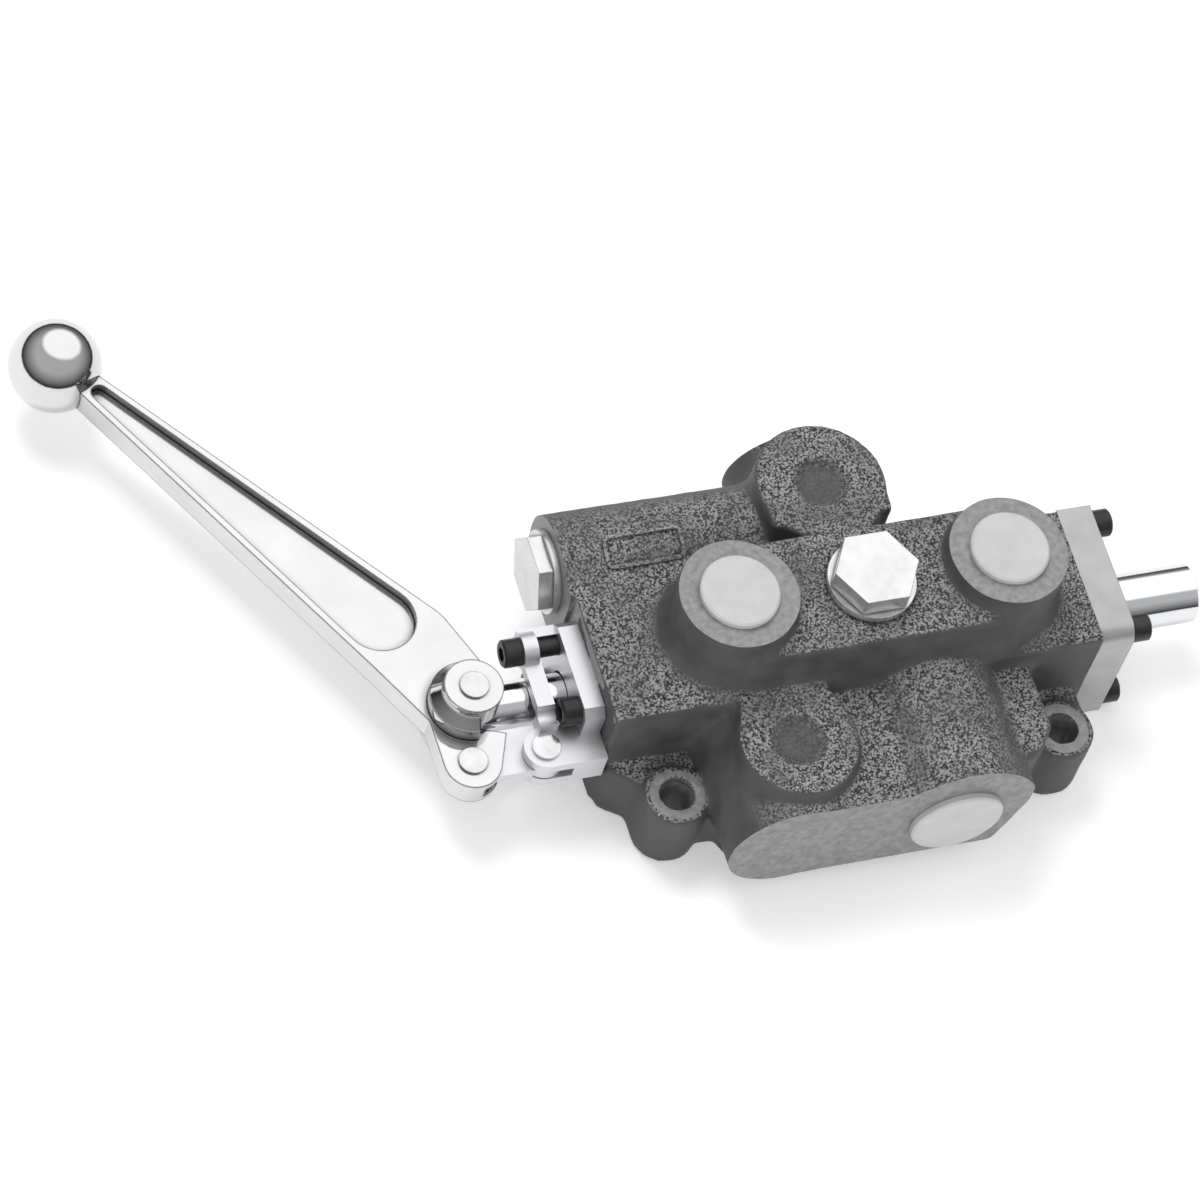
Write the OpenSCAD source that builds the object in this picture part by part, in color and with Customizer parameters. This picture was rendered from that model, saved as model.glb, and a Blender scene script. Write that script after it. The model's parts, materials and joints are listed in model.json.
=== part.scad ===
// Single spool directional control valve with a lever.
// Frame: z = 0 is the flat mounting face, the spool runs along X above y = 0, and x = 0 lies midway
// between the two work ports, which open to +Z. The lever is at the -X end, the outlet at the -Y side.

/* [Body] */
// Side of the square section around the spool
section_side = 50.8; // [48:0.2:56]
// Height of the spool's axis above the mounting face
spool_z = 26; // [25.6:0.1:30]
// Distance from the middle to the left end face
body_left = 91.8; // [84:0.2:110]
// Distance from the middle to the right end face
body_right = 79.8; // [76:0.2:100]
// How far the saddle between the work ports lies below their faces
saddle_drop = 7.5; // [4:0.5:11]
// Width of the saddle at its top
saddle_w = 43; // [36:0.5:47]

/* [Work ports] */
// Distance between the two work ports
work_spacing = 94.8; // [90:0.2:104]
// Height of the work port faces
work_face_z = 77; // [75:0.5:84]
// Radius of a work port boss
work_boss_r = 20.2; // [18:0.1:22]
// Wall radius of a work port hole
work_hole_r = 10.1; // [8.5:0.1:10.6]
// Depth of a work port hole
work_hole_depth = 19; // [15:0.5:22]
// Radius of a work port's shipping plug
work_cap_r = 13.3; // [12.5:0.1:15]

/* [Inlet and outlet] */
// Wall radius of the inlet and outlet holes
main_hole_r = 12.4; // [10:0.1:13]
// Depth of the inlet and outlet holes
main_hole_depth = 22; // [18:0.5:26]
// Radius of the inlet and outlet shipping plugs
main_cap_r = 15.9; // [15.2:0.1:18]
// Position of the outlet along the spool
outlet_x = 18.4; // [12:0.2:24]
// Distance from the spool's axis to the outlet face
outlet_y = 68.5; // [66:0.5:80]
// Radius of the outlet barrel
outlet_barrel_r = 28.3; // [26:0.1:31]
// Depth of the flat cut on the outlet barrel's side
outlet_cut = 2.8; // [1:0.1:5]
// Distance from the outlet to the middle of the blank lobe
lobe_offset = 58; // [50:0.5:60]
// Radius of the blank lobe
lobe_r = 21.5; // [19:0.1:23]
// Distance from the spool's axis to the inlet face
inlet_y = 71.5; // [71.5:0.5:80]
// Radius of the inlet barrel
inlet_barrel_r = 21.5; // [20:0.1:24]

/* [Blank pads] */
// Height of the pad above the inlet
upper_pad_top = 62; // [57:0.5:66]
// Radius of the pad above the inlet
upper_pad_r = 22.6; // [20:0.1:24]
// Distance from the spool's axis to the upper pad
upper_pad_y = 44.4; // [42:0.2:48]
// Height of the pad beside the outlet
lower_pad_top = 54; // [53:0.5:57]
// Radius of the pad beside the outlet
lower_pad_r = 20.4; // [18:0.1:22]
// Position of the lower pad along the spool
lower_pad_x = -35; // [-38:0.5:-30]
// Distance from the spool's axis to the lower pad
lower_pad_y = 44; // [42:0.5:47]
// Depth of the dimple in each pad
dimple_depth = 2.6; // [1:0.1:4]
// Radius of the dimple in each pad
dimple_r = 9.4; // [6:0.1:12]

/* [Mounting ears] */
// Distance between the two mounting holes
ear_spacing = 136.6; // [132:0.2:142]
// Shift of the pair of mounting holes from the middle
ear_shift = -3; // [-6:0.5:0]
// Distance from the spool's axis to the mounting holes
ear_y = 43; // [40:0.5:46]
// Radius of the mounting holes
ear_hole_r = 5.5; // [4:0.1:6.5]
// Radius of the ears
ear_r = 11; // [10:0.1:13]
// Thickness of the ears
ear_h = 27; // [15:0.5:30]

/* [Relief housing] */
// Radius of the relief housing
ridge_r = 18.5; // [17.5:0.1:19.5]
// Distance from the spool's axis to the relief bore
ridge_y = 40.6; // [39:0.1:43]
// Height of the relief bore
ridge_z = 37.5; // [36:0.1:39]
// How far the relief housing stands out past the left end face
ridge_out = 1.6; // [0:0.2:5]
// Width across flats of the relief plug
relief_flats = 24; // [22:0.1:28]
// Length of the relief plug's hexagon
relief_hex_len = 5; // [4:0.5:16]

/* [Load check] */
// Width across flats of the check plug
check_flats = 25.4; // [20:0.1:25.8]
// Height of the check plug's hexagon
check_hex_h = 7.5; // [4:0.5:12]
// Radius of the check plug's flange
check_flange_r = 15; // [14:0.1:17]
// Thickness of the check plug's flange
check_flange_h = 3; // [2:0.1:5]

/* [End plate and spring cap] */
// Thickness of the end plate
plate_t = 12.3; // [10.5:0.1:16]
// Radius of the end plate's rounded edge
plate_round = 6; // [2:0.5:8]
// Distance of the plate's screws from the spool's axis
plate_screw_at = 20.5; // [19.5:0.1:21]
// Outer radius of the spring cap
cap_r = 10.2; // [9.8:0.1:12]
// Length of the spring cap
cap_len = 34.9; // [34:0.1:60]
// Wall of the spring cap
cap_wall = 1.8; // [1.5:0.1:2]

/* [Screws] */
// Radius of the screw shanks
screw_r = 3.15; // [2.5:0.05:3.2]
// Radius of the screw heads
screw_head_r = 4.76; // [4:0.02:4.8]
// Height of the screw heads
screw_head_h = 6.35; // [5:0.05:7]
// Length of screw inside the body
screw_grip = 13; // [9:0.5:14]

/* [Spool] */
// Radius of the spool
spool_r = 7.94; // [7:0.02:8]
// Radius of the spool in its grooves
groove_r = 5.2; // [4.5:0.1:6]
// Running clearance of the spool in its bore
spool_fit = 0.03; // [0.02:0.01:0.06]
// Spool travel each way
travel = 6; // [3:0.5:6]
// Radius of the spool's thin extension
stud_r = 3.5; // [3:0.1:3.8]

/* [Lever bracket] */
// Side of the bracket's square flange
flange_side = 37; // [36:0.5:42]
// Thickness of the bracket's flange
flange_t = 7; // [5:0.5:10]
// Distance of the bracket's screws from the spool's axis
bracket_screw_at = 12.3; // [12.1:0.1:13]
// Thickness of each cheek of the bracket's fork
cheek_t = 3.6; // [2.5:0.1:3.8]

/* [Linkage] */
// Distance from the middle to the lever's pivot on the spool
pivot_x = 132; // [128:1:150]
// Position of the lever's lower pivot along the spool, from the upper one
lower_dx = -4; // [-5:0.5:-2]
// Distance from the spool's axis to the lower pivots
lower_y = 20.6; // [20.4:0.1:24]
// Length of the link
link_len = 25; // [23:0.1:28]
// Thickness of the link
link_t = 4; // [3:0.1:4.4]
// Radius of the pins
pin_r = 4.2; // [3.5:0.1:4.5]
// Running clearance of the pins
pin_fit = 0.05; // [0.03:0.01:0.08]
// Clearance of the open pivot, which takes up the link's arc
open_pivot_fit = 1; // [0.9:0.05:1.2]

/* [Lever] */
// Distance from the lever's pivot to the ball
lever_len = 182; // [120:1:260]
// Direction of the long arm, from +X
lever_angle = 124.6; // [115:0.2:135]
// Side shift of the long arm from the pivot
arm_shift = 4.7; // [2:0.1:6]
// Radius of the ball
ball_r = 15.9; // [12:0.1:20]
// Thickness of the lever
lever_t = 9.6; // [9.2:0.1:12]
// Half width of the arm at its root
arm_root_r = 15.8; // [14:0.1:18]
// Half width of the arm at the ball
arm_tip_r = 4.9; // [3.5:0.1:8]
// Depth of the recess in each face of the arm
recess_depth = 3.2; // [1:0.1:3.6]
// Width of the rim beside the recess
rim_w = 2.6; // [2:0.1:6]

/* [Hidden] */
$fn = 64;
HULL_FN = 48;

// Small common gaps
touch = 0.01;      // overlap of solids that form one casting
gap = 0.3;         // side gap between moving pieces
seat_fit = 0.05;   // radial fit of a located piece

half = section_side / 2;
top_z = spool_z + half;
work_x = work_spacing / 2;
bore_r = spool_r + spool_fit;
x_left = -body_left;
x_right = body_right;
saddle_top = work_face_z - saddle_drop;

// Galleries round the spool: middle of each along X
gallery_w = 7;
gallery_r = 11.5;
tank_x = work_x + 12.6;
bridge_x = work_x - 16.4;
open_x = 13;
feed_w = 9;

// Sealing rings under the two hexagon plugs
ring_pocket = 2.4;
ring_pocket_w = 2;
ring_wire_r = 0.95;

// Load check
check_bore_r = 10.5;
check_floor = spool_z + 20;
check_seat_r = 6;
check_lift = 3;
poppet_r = 8.5;
poppet_stem_r = 3;
poppet_top = check_floor + 4;
plug_low = saddle_top - 9;
check_core_r = 4.5;
check_core_z = check_floor + 6;
bridge_drop_r = 2.8;

// Inlet, outlet and tank core
inlet_x = 2;
main_z = spool_z + 1;
feed_r = 4.1;
tank_core_r = 4.5;
tank_core_z = 8.5;
tank_drop_r = 5;
tank_drop_y = -outlet_y + main_hole_depth - tank_drop_r - 1.5;
work_core_r = 5;
work_chamfer = 2.4;
main_chamfer = 2.8;
chamfer_rise = 1.4;

// Relief valve
relief_bore_r = 10;
relief_bore_len = 62;
relief_seat_len = 10;
relief_left = x_left - ridge_out;
relief_seat_x = x_left + relief_bore_len;
relief_hole_r = 4;
relief_drop_r = 3.2;
relief_throat_r = 3;
relief_flange_t = 2.5;
relief_spigot = 14;
relief_spring_floor = relief_left + 4;
relief_mean_r = 5;
relief_wire_r = 0.9;
relief_poppet_len = 7;
relief_face_x = relief_seat_x - relief_seat_len;
relief_head_x = relief_face_x - relief_poppet_len;

// Right end
plate_x = x_right + plate_t;
seal_depth = 3.2;
ledge_x = x_right + seal_depth + 1.8;
cap_bore_r = cap_r - cap_wall;
cap_end_x = plate_x + cap_len;
cap_floor_x = cap_end_x - 3;
spigot_len = 4;
spigot_r = cap_r - 0.8;
cap_rim = 1.2;
right_ring_r = 1.45;
spool_end = x_right - travel - 1.7;
collar_x = (ledge_x + cap_floor_x) / 2;
collar_t = 4;
nut_t = 4;
nut_flats = 9.6;
spring_wire_r = 0.65;
spring_mean_r = cap_bore_r - gap - spring_wire_r - 0.3;
cap_h = 2.5;

// Spool grooves on each side of the middle, as [near end, far end]
overlap = 2;
open_groove = [3, open_x - overlap];
bridge_groove = [bridge_x - 5, work_x - gallery_w / 2 - 0.5 - overlap];
tank_groove = [work_x + gallery_w / 2 + 0.5 + overlap, spool_end - 5.5];

// Left end
flange_x = x_left - flange_t;
wiper_pocket = 3;
rod_gap = 0.6;
seal_pocket = 5;
wiper_r = 11;
half_flange = flange_side / 2;
seal_ring_r = 1.9;
seal_bore_r = bore_r + 2 * seal_ring_r;

// Linkage
pivot = [-pivot_x, 0];
lower = pivot + [lower_dx, -lower_y];
anchor = lower + [link_len, 0];
slot_z = link_t / 2 + gap;
cheek_top = slot_z + cheek_t;
link_end_r = pin_r + open_pivot_fit + 1.8;
link_room = open_pivot_fit + 0.2;
fork_r = 7.4;
hub_r = 14;
hub_foot_r = hub_r - 0.6;
hub_top_r = 9.9;
hub_half = 17.4;
rod_slot = spool_r + gap + 0.06;
lower_end_r = 9.8;
hub_foot_z = 10;
swing = 20;
clip_t = 1;
pin_head = 0.6;
link_half_w = 5.6;

function along_arm(u, v = 0) =
  [u * cos(lever_angle) + (v + arm_shift) * sin(lever_angle),
   u * sin(lever_angle) - (v + arm_shift) * cos(lever_angle)];
root_u = 29;
tip_u = lever_len - ball_r + 1;
function arm_half(u) = arm_root_r - (u - root_u) * (arm_root_r - arm_tip_r) / (tip_u - root_u);
recess_root_u = 41.5;
recess_tip_u = tip_u - 4;
recess_root_r = arm_half(recess_root_u) - rim_w;
recess_tip_r = arm_half(recess_tip_u) - 0.9 * rim_w;

// Arm of the bracket that crosses over the spool
arm_low = rod_slot;
arm_high = arm_low + 4.2;
arm_w = 6;
lug_x = flange_x - 8;
lug_t = 5;
arm_x = lug_x - lug_t + arm_w / 2;
lug_r = 6;
strap_t = 3.6;

module at_x(x, y = 0, z = spool_z) translate([x, y, z]) rotate([0, 90, 0]) children();
module rod_x(x0, x1, r, y = 0, z = spool_z) at_x(x0, y, z) cylinder(r = r, h = x1 - x0);
module cone_x(x0, x1, r0, r1, y = 0, z = spool_z) at_x(x0, y, z) cylinder(r1 = r0, r2 = r1, h = x1 - x0);
module rod_y(y0, y1, r, x, z) translate([x, y0, z]) rotate([-90, 0, 0]) cylinder(r = r, h = y1 - y0);
module rod_z(z0, z1, r, x = 0, y = 0) translate([x, y, z0]) cylinder(r = r, h = z1 - z0);
module box(lo, hi) translate(lo) cube(hi - lo);

// A torus whose axis is +Z
module ring(mean_r, wire_r) rotate_extrude() translate([mean_r, 0]) circle(wire_r, $fn = 24);

// A round wire coil along +Z, from z = 0 to z = len
module coil(mean_r, wire_r, len, turns) {
  sides = 6;
  steps = 14;
  n = turns * steps;
  rise = (len - 2 * wire_r) / n;
  tilt = atan(rise * steps / (2 * PI * mean_r));
  pts = [for (i = [0 : n], j = [0 : sides - 1])
    let (a = 360 * i / steps, b = 360 * j / sides, r = mean_r + wire_r * cos(b))
    [r * cos(a) + wire_r * sin(b) * sin(tilt) * sin(a),
     r * sin(a) - wire_r * sin(b) * sin(tilt) * cos(a),
     wire_r + i * rise + wire_r * sin(b) * cos(tilt)]];
  skin = [for (i = [0 : n - 1], j = [0 : sides - 1])
    let (k = (j + 1) % sides, a = i * sides)
    [a + j, a + sides + j, a + sides + k, a + k]];
  ends = [[for (j = [0 : sides - 1]) j], [for (j = [sides - 1 : -1 : 0]) n * sides + j]];
  polyhedron(points = pts, faces = concat(skin, ends));
}

// A hexagon prism along +Z with two flats facing +Y and -Y
module hexagon(flats, h) cylinder(r = flats / 2 / cos(30), h = h, $fn = 6);

// A socket head screw whose head sits on z = 0 and whose shank runs to -len
module socket_screw(len) {
  difference() {
    union() {
      cylinder(r = screw_head_r, h = screw_head_h - 0.6);
      translate([0, 0, screw_head_h - 0.6 - touch])
        cylinder(r1 = screw_head_r, r2 = screw_head_r - 0.6, h = 0.6 + touch);
      translate([0, 0, -len]) cylinder(r = screw_r, h = len + touch);
    }
    translate([0, 0, screw_head_h - 3]) cylinder(r = 2.75, h = 4, $fn = 6);
  }
}

// A clip ring around a pin that runs along Z
module clip(at, z) translate([at[0], at[1], z]) difference() {
  cylinder(r = pin_r + 2, h = clip_t);
  translate([0, 0, -1]) cylinder(r = pin_r - 0.5, h = clip_t + 2);
  translate([0, -1.2, -1]) cube([pin_r + 4, 2.4, clip_t + 2]);
}
// A pin along Z with a low domed head, and a groove for its clip
module headed_pin(at, z_low, z_high, head_r) translate([at[0], at[1], 0]) {
  difference() {
    rod_z(z_low - clip_t - 1.5, z_high + touch, pin_r);
    difference() {
      rod_z(z_low - clip_t, z_low, pin_r + 1);
      rod_z(z_low - clip_t - 1, z_low + 1, pin_r - 0.5);
    }
  }
  rod_z(z_high, z_high + 1, head_r);
}

// Body casting, outside

module work_boss(x) translate([x, 0, 0]) {
  rod_z(spool_z, work_face_z, work_boss_r);
  // Cove at the foot of the boss
  cove = 9;
  translate([0, 0, top_z - touch]) rotate_extrude() difference() {
    translate([work_boss_r - 1, 0]) square([cove + 1, cove]);
    translate([work_boss_r + cove, cove]) circle(cove);
  }
}

module saddle() {
  y1 = saddle_w / 2;
  y0 = half - 1;
  rotate([90, 0, 90]) translate([0, 0, -work_x]) linear_extrude(work_spacing)
    polygon([[-y0, spool_z], [-y0, top_z], [-y1, saddle_top], [y1, saddle_top], [y0, top_z], [y0, spool_z]]);
}

// The machined outlet face: blank lobe, bar and barrel with one cut side
module outlet_outline() {
  circle(lobe_r);
  translate([0, -lobe_r + 1]) square([lobe_offset, 2 * lobe_r - 2]);
  translate([lobe_offset, 0]) intersection() {
    circle(outlet_barrel_r);
    side = outlet_barrel_r - outlet_cut;
    polygon([[-outlet_barrel_r, -lobe_r + 1], [side - 7.9, -lobe_r + 1], [side, 4], [side, outlet_barrel_r],
      [-outlet_barrel_r, outlet_barrel_r]]);
  }
}

module outlet_barrel() {
  translate([outlet_x - lobe_offset, -half + 2, main_z]) rotate([90, 0, 0])
    linear_extrude(outlet_y - half + 2) outlet_outline();
}

// A blank pad: round at its outer side, with a straight edge towards the spool
module pad(x, y, r, top, edge_y, edge_half, side) translate([x, y, 0]) difference() {
  union() {
    cylinder(r = r, h = top);
    linear_extrude(top) polygon([[0, -side * 5], [-r + 0.9, side * 5], [-edge_half, edge_y],
      [edge_half, edge_y], [r - 0.9, side * 5]]);
  }
  translate([0, 0, top - dimple_depth]) cylinder(r1 = dimple_r - 2.4, r2 = dimple_r, h = dimple_depth + touch);
}

module ear(x) {
  rod_z(0, ear_h, ear_r, x, -ear_y);
  box([x - ear_r, -ear_y, 0], [x + ear_r, -half + 2, ear_h - 3]);
}

module ear_web() {
  left = ear_shift - ear_spacing / 2;
  right = ear_shift + ear_spacing / 2;
  // Low skirt between the ears and the outlet barrel
  box([left, -ear_y + 2, 0], [right, -half + 2, ear_h - 9]);
  box([left, -ear_y - 6, 0], [left + 20, -half + 2, ear_h - 7]);
  // Web from the left end to the left ear, and the high web beside the outlet barrel
  linear_extrude(ear_h - 2)
    polygon([[x_left + 1.4, -half + 2], [x_left + 1.4, -half - 4], [left - 7, -ear_y + 5], [left, -half + 2]]);
  linear_extrude(main_z + 17)
    polygon([[right - 27, -half + 2], [right - 27, -ear_y - 15], [right - 17, -ear_y - 15],
      [right - 10.4, -ear_y - 7], [right - 10.4, -half + 2]]);
}

module relief_housing() {
  x1 = inlet_x;
  rod_x(relief_left, x1, ridge_r, ridge_y, ridge_z);
  box([relief_left, half - 2, ridge_z - ridge_r], [x1, ridge_y, top_z]);
}

module inlet_barrel() {
  rod_y(half - 2, inlet_y, inlet_barrel_r, inlet_x, main_z);
  box([inlet_x - inlet_barrel_r, half - 2, 0], [inlet_x + inlet_barrel_r, upper_pad_y, main_z]);
}

module body_outside() {
  box([x_left, -half, 0], [x_right, half, top_z]);
  saddle();
  for (s = [-1, 1]) work_boss(s * work_x);
  relief_housing();
  inlet_barrel();
  pad(inlet_x - 3, upper_pad_y, upper_pad_r, upper_pad_top, -14.4, upper_pad_r - 1.3, -1);
  pad(lower_pad_x, -lower_pad_y, lower_pad_r, lower_pad_top, 22.3, 13.8, 1);
  outlet_barrel();
  for (s = [-1, 1]) ear(ear_shift + s * ear_spacing / 2);
  ear_web();
}

// Body casting, machined holes and cores

module gallery(x, w = gallery_w) rod_x(x - w / 2, x + w / 2, gallery_r);

module work_hole(x) translate([x, 0, 0]) {
  rod_z(work_face_z - work_hole_depth, work_face_z + 1, work_hole_r);
  rod_z(spool_z, work_face_z, work_core_r);
  // Sealing chamfer at the mouth
  translate([0, 0, work_face_z - work_chamfer])
    cylinder(r1 = work_hole_r, r2 = work_hole_r + chamfer_rise, h = work_chamfer + touch);
}

module main_hole(x, y, dir) translate([x, y, main_z]) rotate([dir * 90, 0, 0]) {
  rod_z(-main_hole_depth, 1, main_hole_r);
  translate([0, 0, -main_chamfer])
    cylinder(r1 = main_hole_r, r2 = main_hole_r + chamfer_rise, h = main_chamfer + touch);
}

module body_inside() {
  rod_x(x_left - 1, x_right + 1, bore_r);
  rod_x(x_left - 1, x_left + seal_pocket, seal_bore_r);
  for (s = [-1, 1]) {
    gallery(s * tank_x);
    gallery(s * work_x, gallery_w + 1);
    gallery(s * bridge_x);
    gallery(s * open_x);
    work_hole(s * work_x);
    // Bridge: check chamber down to the galleries beside the work ports
    rod_z(spool_z, check_core_z, bridge_drop_r, s * bridge_x, 0);
  }
  gallery(0, feed_w);
  rod_x(-bridge_x - 1.5, bridge_x + 1.5, check_core_r, 0, check_core_z);
  // Load check chamber, its seat and the feed below it
  rod_z(check_floor, saddle_top + 1, check_bore_r);
  rod_z(spool_z, check_floor + 1, check_seat_r);
  rod_z(saddle_top - ring_pocket, saddle_top + 1, check_bore_r + ring_pocket_w);
  // Inlet and its feed to the middle gallery
  main_hole(inlet_x, inlet_y, -1);
  rod_y(0, inlet_y - 1, feed_r, 0, spool_z);
  // Outlet and tank core, which joins the four tank galleries from below
  main_hole(outlet_x, -outlet_y, 1);
  rod_z(tank_core_z, main_z, tank_drop_r, outlet_x, tank_drop_y);
  rod_y(tank_drop_y, 0, tank_core_r - 0.3, outlet_x, tank_core_z);
  rod_x(-tank_x - 1.5, tank_x + 1.5, tank_core_r, 0, tank_core_z);
  for (x = [-tank_x, -open_x, open_x, tank_x]) rod_z(tank_core_z, spool_z - gallery_r + 2, 3, x, 0);
  // Relief bore, its inlet from the feed and its drain to the left tank gallery
  rod_x(relief_left - 1, relief_seat_x, relief_bore_r, ridge_y, ridge_z);
  rod_x(relief_left - 1, relief_left + ring_pocket, relief_bore_r + ring_pocket_w, ridge_y, ridge_z);
  rod_x(relief_seat_x - 1, relief_drop_r + 2, relief_hole_r, ridge_y, ridge_z);
  rod_z(spool_z, ridge_z, relief_drop_r, 0, ridge_y);
  rod_y(gallery_r / 2, ridge_y - 2, relief_drop_r - 0.4, -tank_x, spool_z + 4);
  // Screw holes at both ends
  for (a = [-1, 1], b = [-1, 1]) {
    rod_x(x_left - 1, x_left + screw_grip + 1, screw_r, a * bracket_screw_at, spool_z + b * bracket_screw_at);
    rod_x(x_right - screw_grip - 1, x_right + 1, screw_r, a * plate_screw_at, spool_z + b * plate_screw_at);
  }
  for (s = [-1, 1]) rod_z(-1, ear_h + 1, ear_hole_r, ear_shift + s * ear_spacing / 2, -ear_y);
}

module valve_body() color([0.33, 0.33, 0.34]) difference() {
  body_outside();
  body_inside();
}

// Right end

module plate_outline() difference() {
  translate([-half, -half]) square(section_side);
  difference() {
    translate([-half - 1, half - plate_round]) square(plate_round + 1);
    translate([-half + plate_round, half - plate_round]) circle(plate_round);
  }
}

module end_plate() color([0.78, 0.79, 0.8]) difference() {
  translate([x_right, 0, spool_z]) rotate([90, 0, 90]) linear_extrude(plate_t) plate_outline();
  rod_x(x_right - 1, plate_x + 1, stud_r + 0.3);
  rod_x(x_right - 1, x_right + seal_depth, stud_r + 2 * right_ring_r + 0.1);
  rod_x(ledge_x, plate_x + 1, cap_bore_r);
  rod_x(plate_x - spigot_len, plate_x + 1, spigot_r + seat_fit);
  for (a = [-1, 1], b = [-1, 1])
    rod_x(x_right - 1, plate_x + 1, screw_r + 0.25, a * plate_screw_at, spool_z + b * plate_screw_at);
}

module end_plate_screws() color([0.1, 0.1, 0.11])
  for (a = [-1, 1], b = [-1, 1])
    at_x(plate_x, a * plate_screw_at, spool_z + b * plate_screw_at) socket_screw(plate_t + screw_grip);

module spring_cap() color([0.85, 0.86, 0.87]) difference() {
  union() {
    rod_x(plate_x - spigot_len, plate_x + touch, spigot_r);
    rod_x(plate_x, cap_end_x - cap_rim, cap_r);
    cone_x(cap_end_x - cap_rim, cap_end_x, cap_r, cap_r - cap_rim);
  }
  rod_x(plate_x - spigot_len - 1, cap_floor_x, cap_bore_r);
  rod_x(cap_end_x - cap_rim, cap_end_x + 1, cap_r - 2.4 * cap_rim);
}

module spool_seal_right() color([0.07, 0.07, 0.07])
  at_x(x_right + seal_depth / 2) ring(stud_r + right_ring_r + 0.05, right_ring_r);

module centring_spring_inner() color([0.6, 0.6, 0.62])
  at_x(ledge_x) coil(spring_mean_r, spring_wire_r, collar_x - collar_t / 2 - ledge_x, 6);

module centring_spring_outer() color([0.6, 0.6, 0.62])
  at_x(collar_x + collar_t / 2) coil(spring_mean_r, spring_wire_r, cap_floor_x - collar_x - collar_t / 2, 5);

module spring_collar() color([0.5, 0.5, 0.52]) difference() {
  rod_x(collar_x - collar_t / 2, collar_x + collar_t / 2, cap_bore_r - gap);
  rod_x(collar_x - collar_t, collar_x + collar_t, stud_r + seat_fit);
}

module collar_nut() color([0.5, 0.5, 0.52]) difference() {
  at_x(collar_x + collar_t / 2) hexagon(nut_flats, nut_t);
  rod_x(collar_x, collar_x + collar_t + nut_t, stud_r + seat_fit);
}

// Spool

module spool() color([0.86, 0.87, 0.88]) difference() {
  union() {
    rod_x(-pivot_x, -tank_groove[1], spool_r);
    translate([-pivot_x, 0, spool_z]) sphere(r = spool_r);
    rod_x(-tank_groove[1] - touch, tank_groove[1] + touch, groove_r);
    rod_x(-open_groove[0], open_groove[0], spool_r);
    for (s = [-1, 1]) {
      land(s * open_groove[1], s * bridge_groove[0]);
      land(s * bridge_groove[1], s * tank_groove[0]);
    }
    rod_x(tank_groove[1], spool_end, spool_r);
    rod_x(spool_end - touch, collar_x + collar_t / 2 + nut_t + 1, stud_r);
  }
  rod_z(spool_z - spool_r - 1, spool_z + spool_r + 1, pin_r + pin_fit, -pivot_x, 0);
}
module land(a, b) rod_x(min(a, b), max(a, b), spool_r);

// Left end

module spool_seal_left() color([0.07, 0.07, 0.07])
  at_x(x_left + seal_pocket / 2) ring(bore_r + seal_ring_r, seal_ring_r - 0.06);

module rod_wiper() color([0.12, 0.12, 0.12]) difference() {
  rod_x(x_left - wiper_pocket, x_left - touch, wiper_r);
  cone_x(x_left - wiper_pocket - touch, x_left, spool_r + 0.08, spool_r + 1.2);
}

module flange_outline() {
  c = 3;
  f = flange_side / 2;
  polygon([[-f, -f + c], [-f + c, -f], [f - c, -f], [f, -f + c], [f, f - c], [f - c, f], [-f + c, f], [-f, f - c]]);
}

module handle_bracket() color([0.87, 0.87, 0.88]) difference() {
  union() {
    translate([flange_x, 0, spool_z]) rotate([90, 0, 90]) linear_extrude(flange_t) flange_outline();
    // Block at the flange's edge, which carries the fork
    box([flange_x - 4, anchor[1] - fork_r, spool_z - cheek_top],
        [x_left, -half_flange + 5, spool_z + cheek_top]);
    for (s = [-1, 1]) translate([0, 0, spool_z + s * (slot_z + cheek_t / 2)]) fork_cheek();
    // Arm over the spool, its riser beside the pin, and the strap back to the flange
    box([arm_x - arm_w / 2, anchor[1] + 5.4, spool_z + slot_z], [arm_x + arm_w / 2, -rod_slot - 1, spool_z + arm_high]);
    box([arm_x - arm_w / 2, -rod_slot - 2, spool_z + arm_low],
        [arm_x + arm_w / 2, bracket_screw_at, spool_z + arm_high]);
    rod_x(lug_x - lug_t, lug_x, lug_r, bracket_screw_at, spool_z + bracket_screw_at);
    box([lug_x - lug_t, half_flange - strap_t, spool_z + arm_low], [flange_x + 1, half_flange, spool_z + half_flange - 3]);
    box([lug_x - lug_t, bracket_screw_at, spool_z + arm_low], [lug_x, half_flange - 1, spool_z + half_flange - 3]);
  }
  rod_x(lug_x - lug_t - 1, x_left + 1, spool_r + rod_gap);
  rod_x(x_left - wiper_pocket, x_left + 1, wiper_r + seat_fit);
  rod_z(0, spool_z + cheek_top + 2, pin_r + seat_fit, anchor[0], anchor[1]);
  for (a = [-1, 1], b = [-1, 1])
    rod_x(lug_x - lug_t - 1, x_left + 1, screw_r + 0.25, a * bracket_screw_at, spool_z + b * bracket_screw_at);
}
module fork_cheek() {
  translate([anchor[0], anchor[1], -cheek_t / 2]) cylinder(r = fork_r, h = cheek_t);
  translate([anchor[0], anchor[1] - fork_r, -cheek_t / 2]) cube([flange_x - anchor[0], 2 * fork_r, cheek_t]);
}

module bracket_screws() color([0.1, 0.1, 0.11])
  for (p = [[-1, 1], [-1, -1], [1, -1]])
    translate([flange_x, p[0] * bracket_screw_at, spool_z + p[1] * bracket_screw_at])
      rotate([0, -90, 0]) socket_screw(flange_t + screw_grip);

module bracket_long_screw() color([0.1, 0.1, 0.11])
  translate([lug_x - lug_t, bracket_screw_at, spool_z + bracket_screw_at])
    rotate([0, -90, 0]) socket_screw(x_left - lug_x + lug_t + screw_grip);

module bracket_pin() color([0.8, 0.8, 0.82])
  headed_pin(anchor, spool_z - cheek_top, spool_z + cheek_top, pin_r + pin_head);

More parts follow.
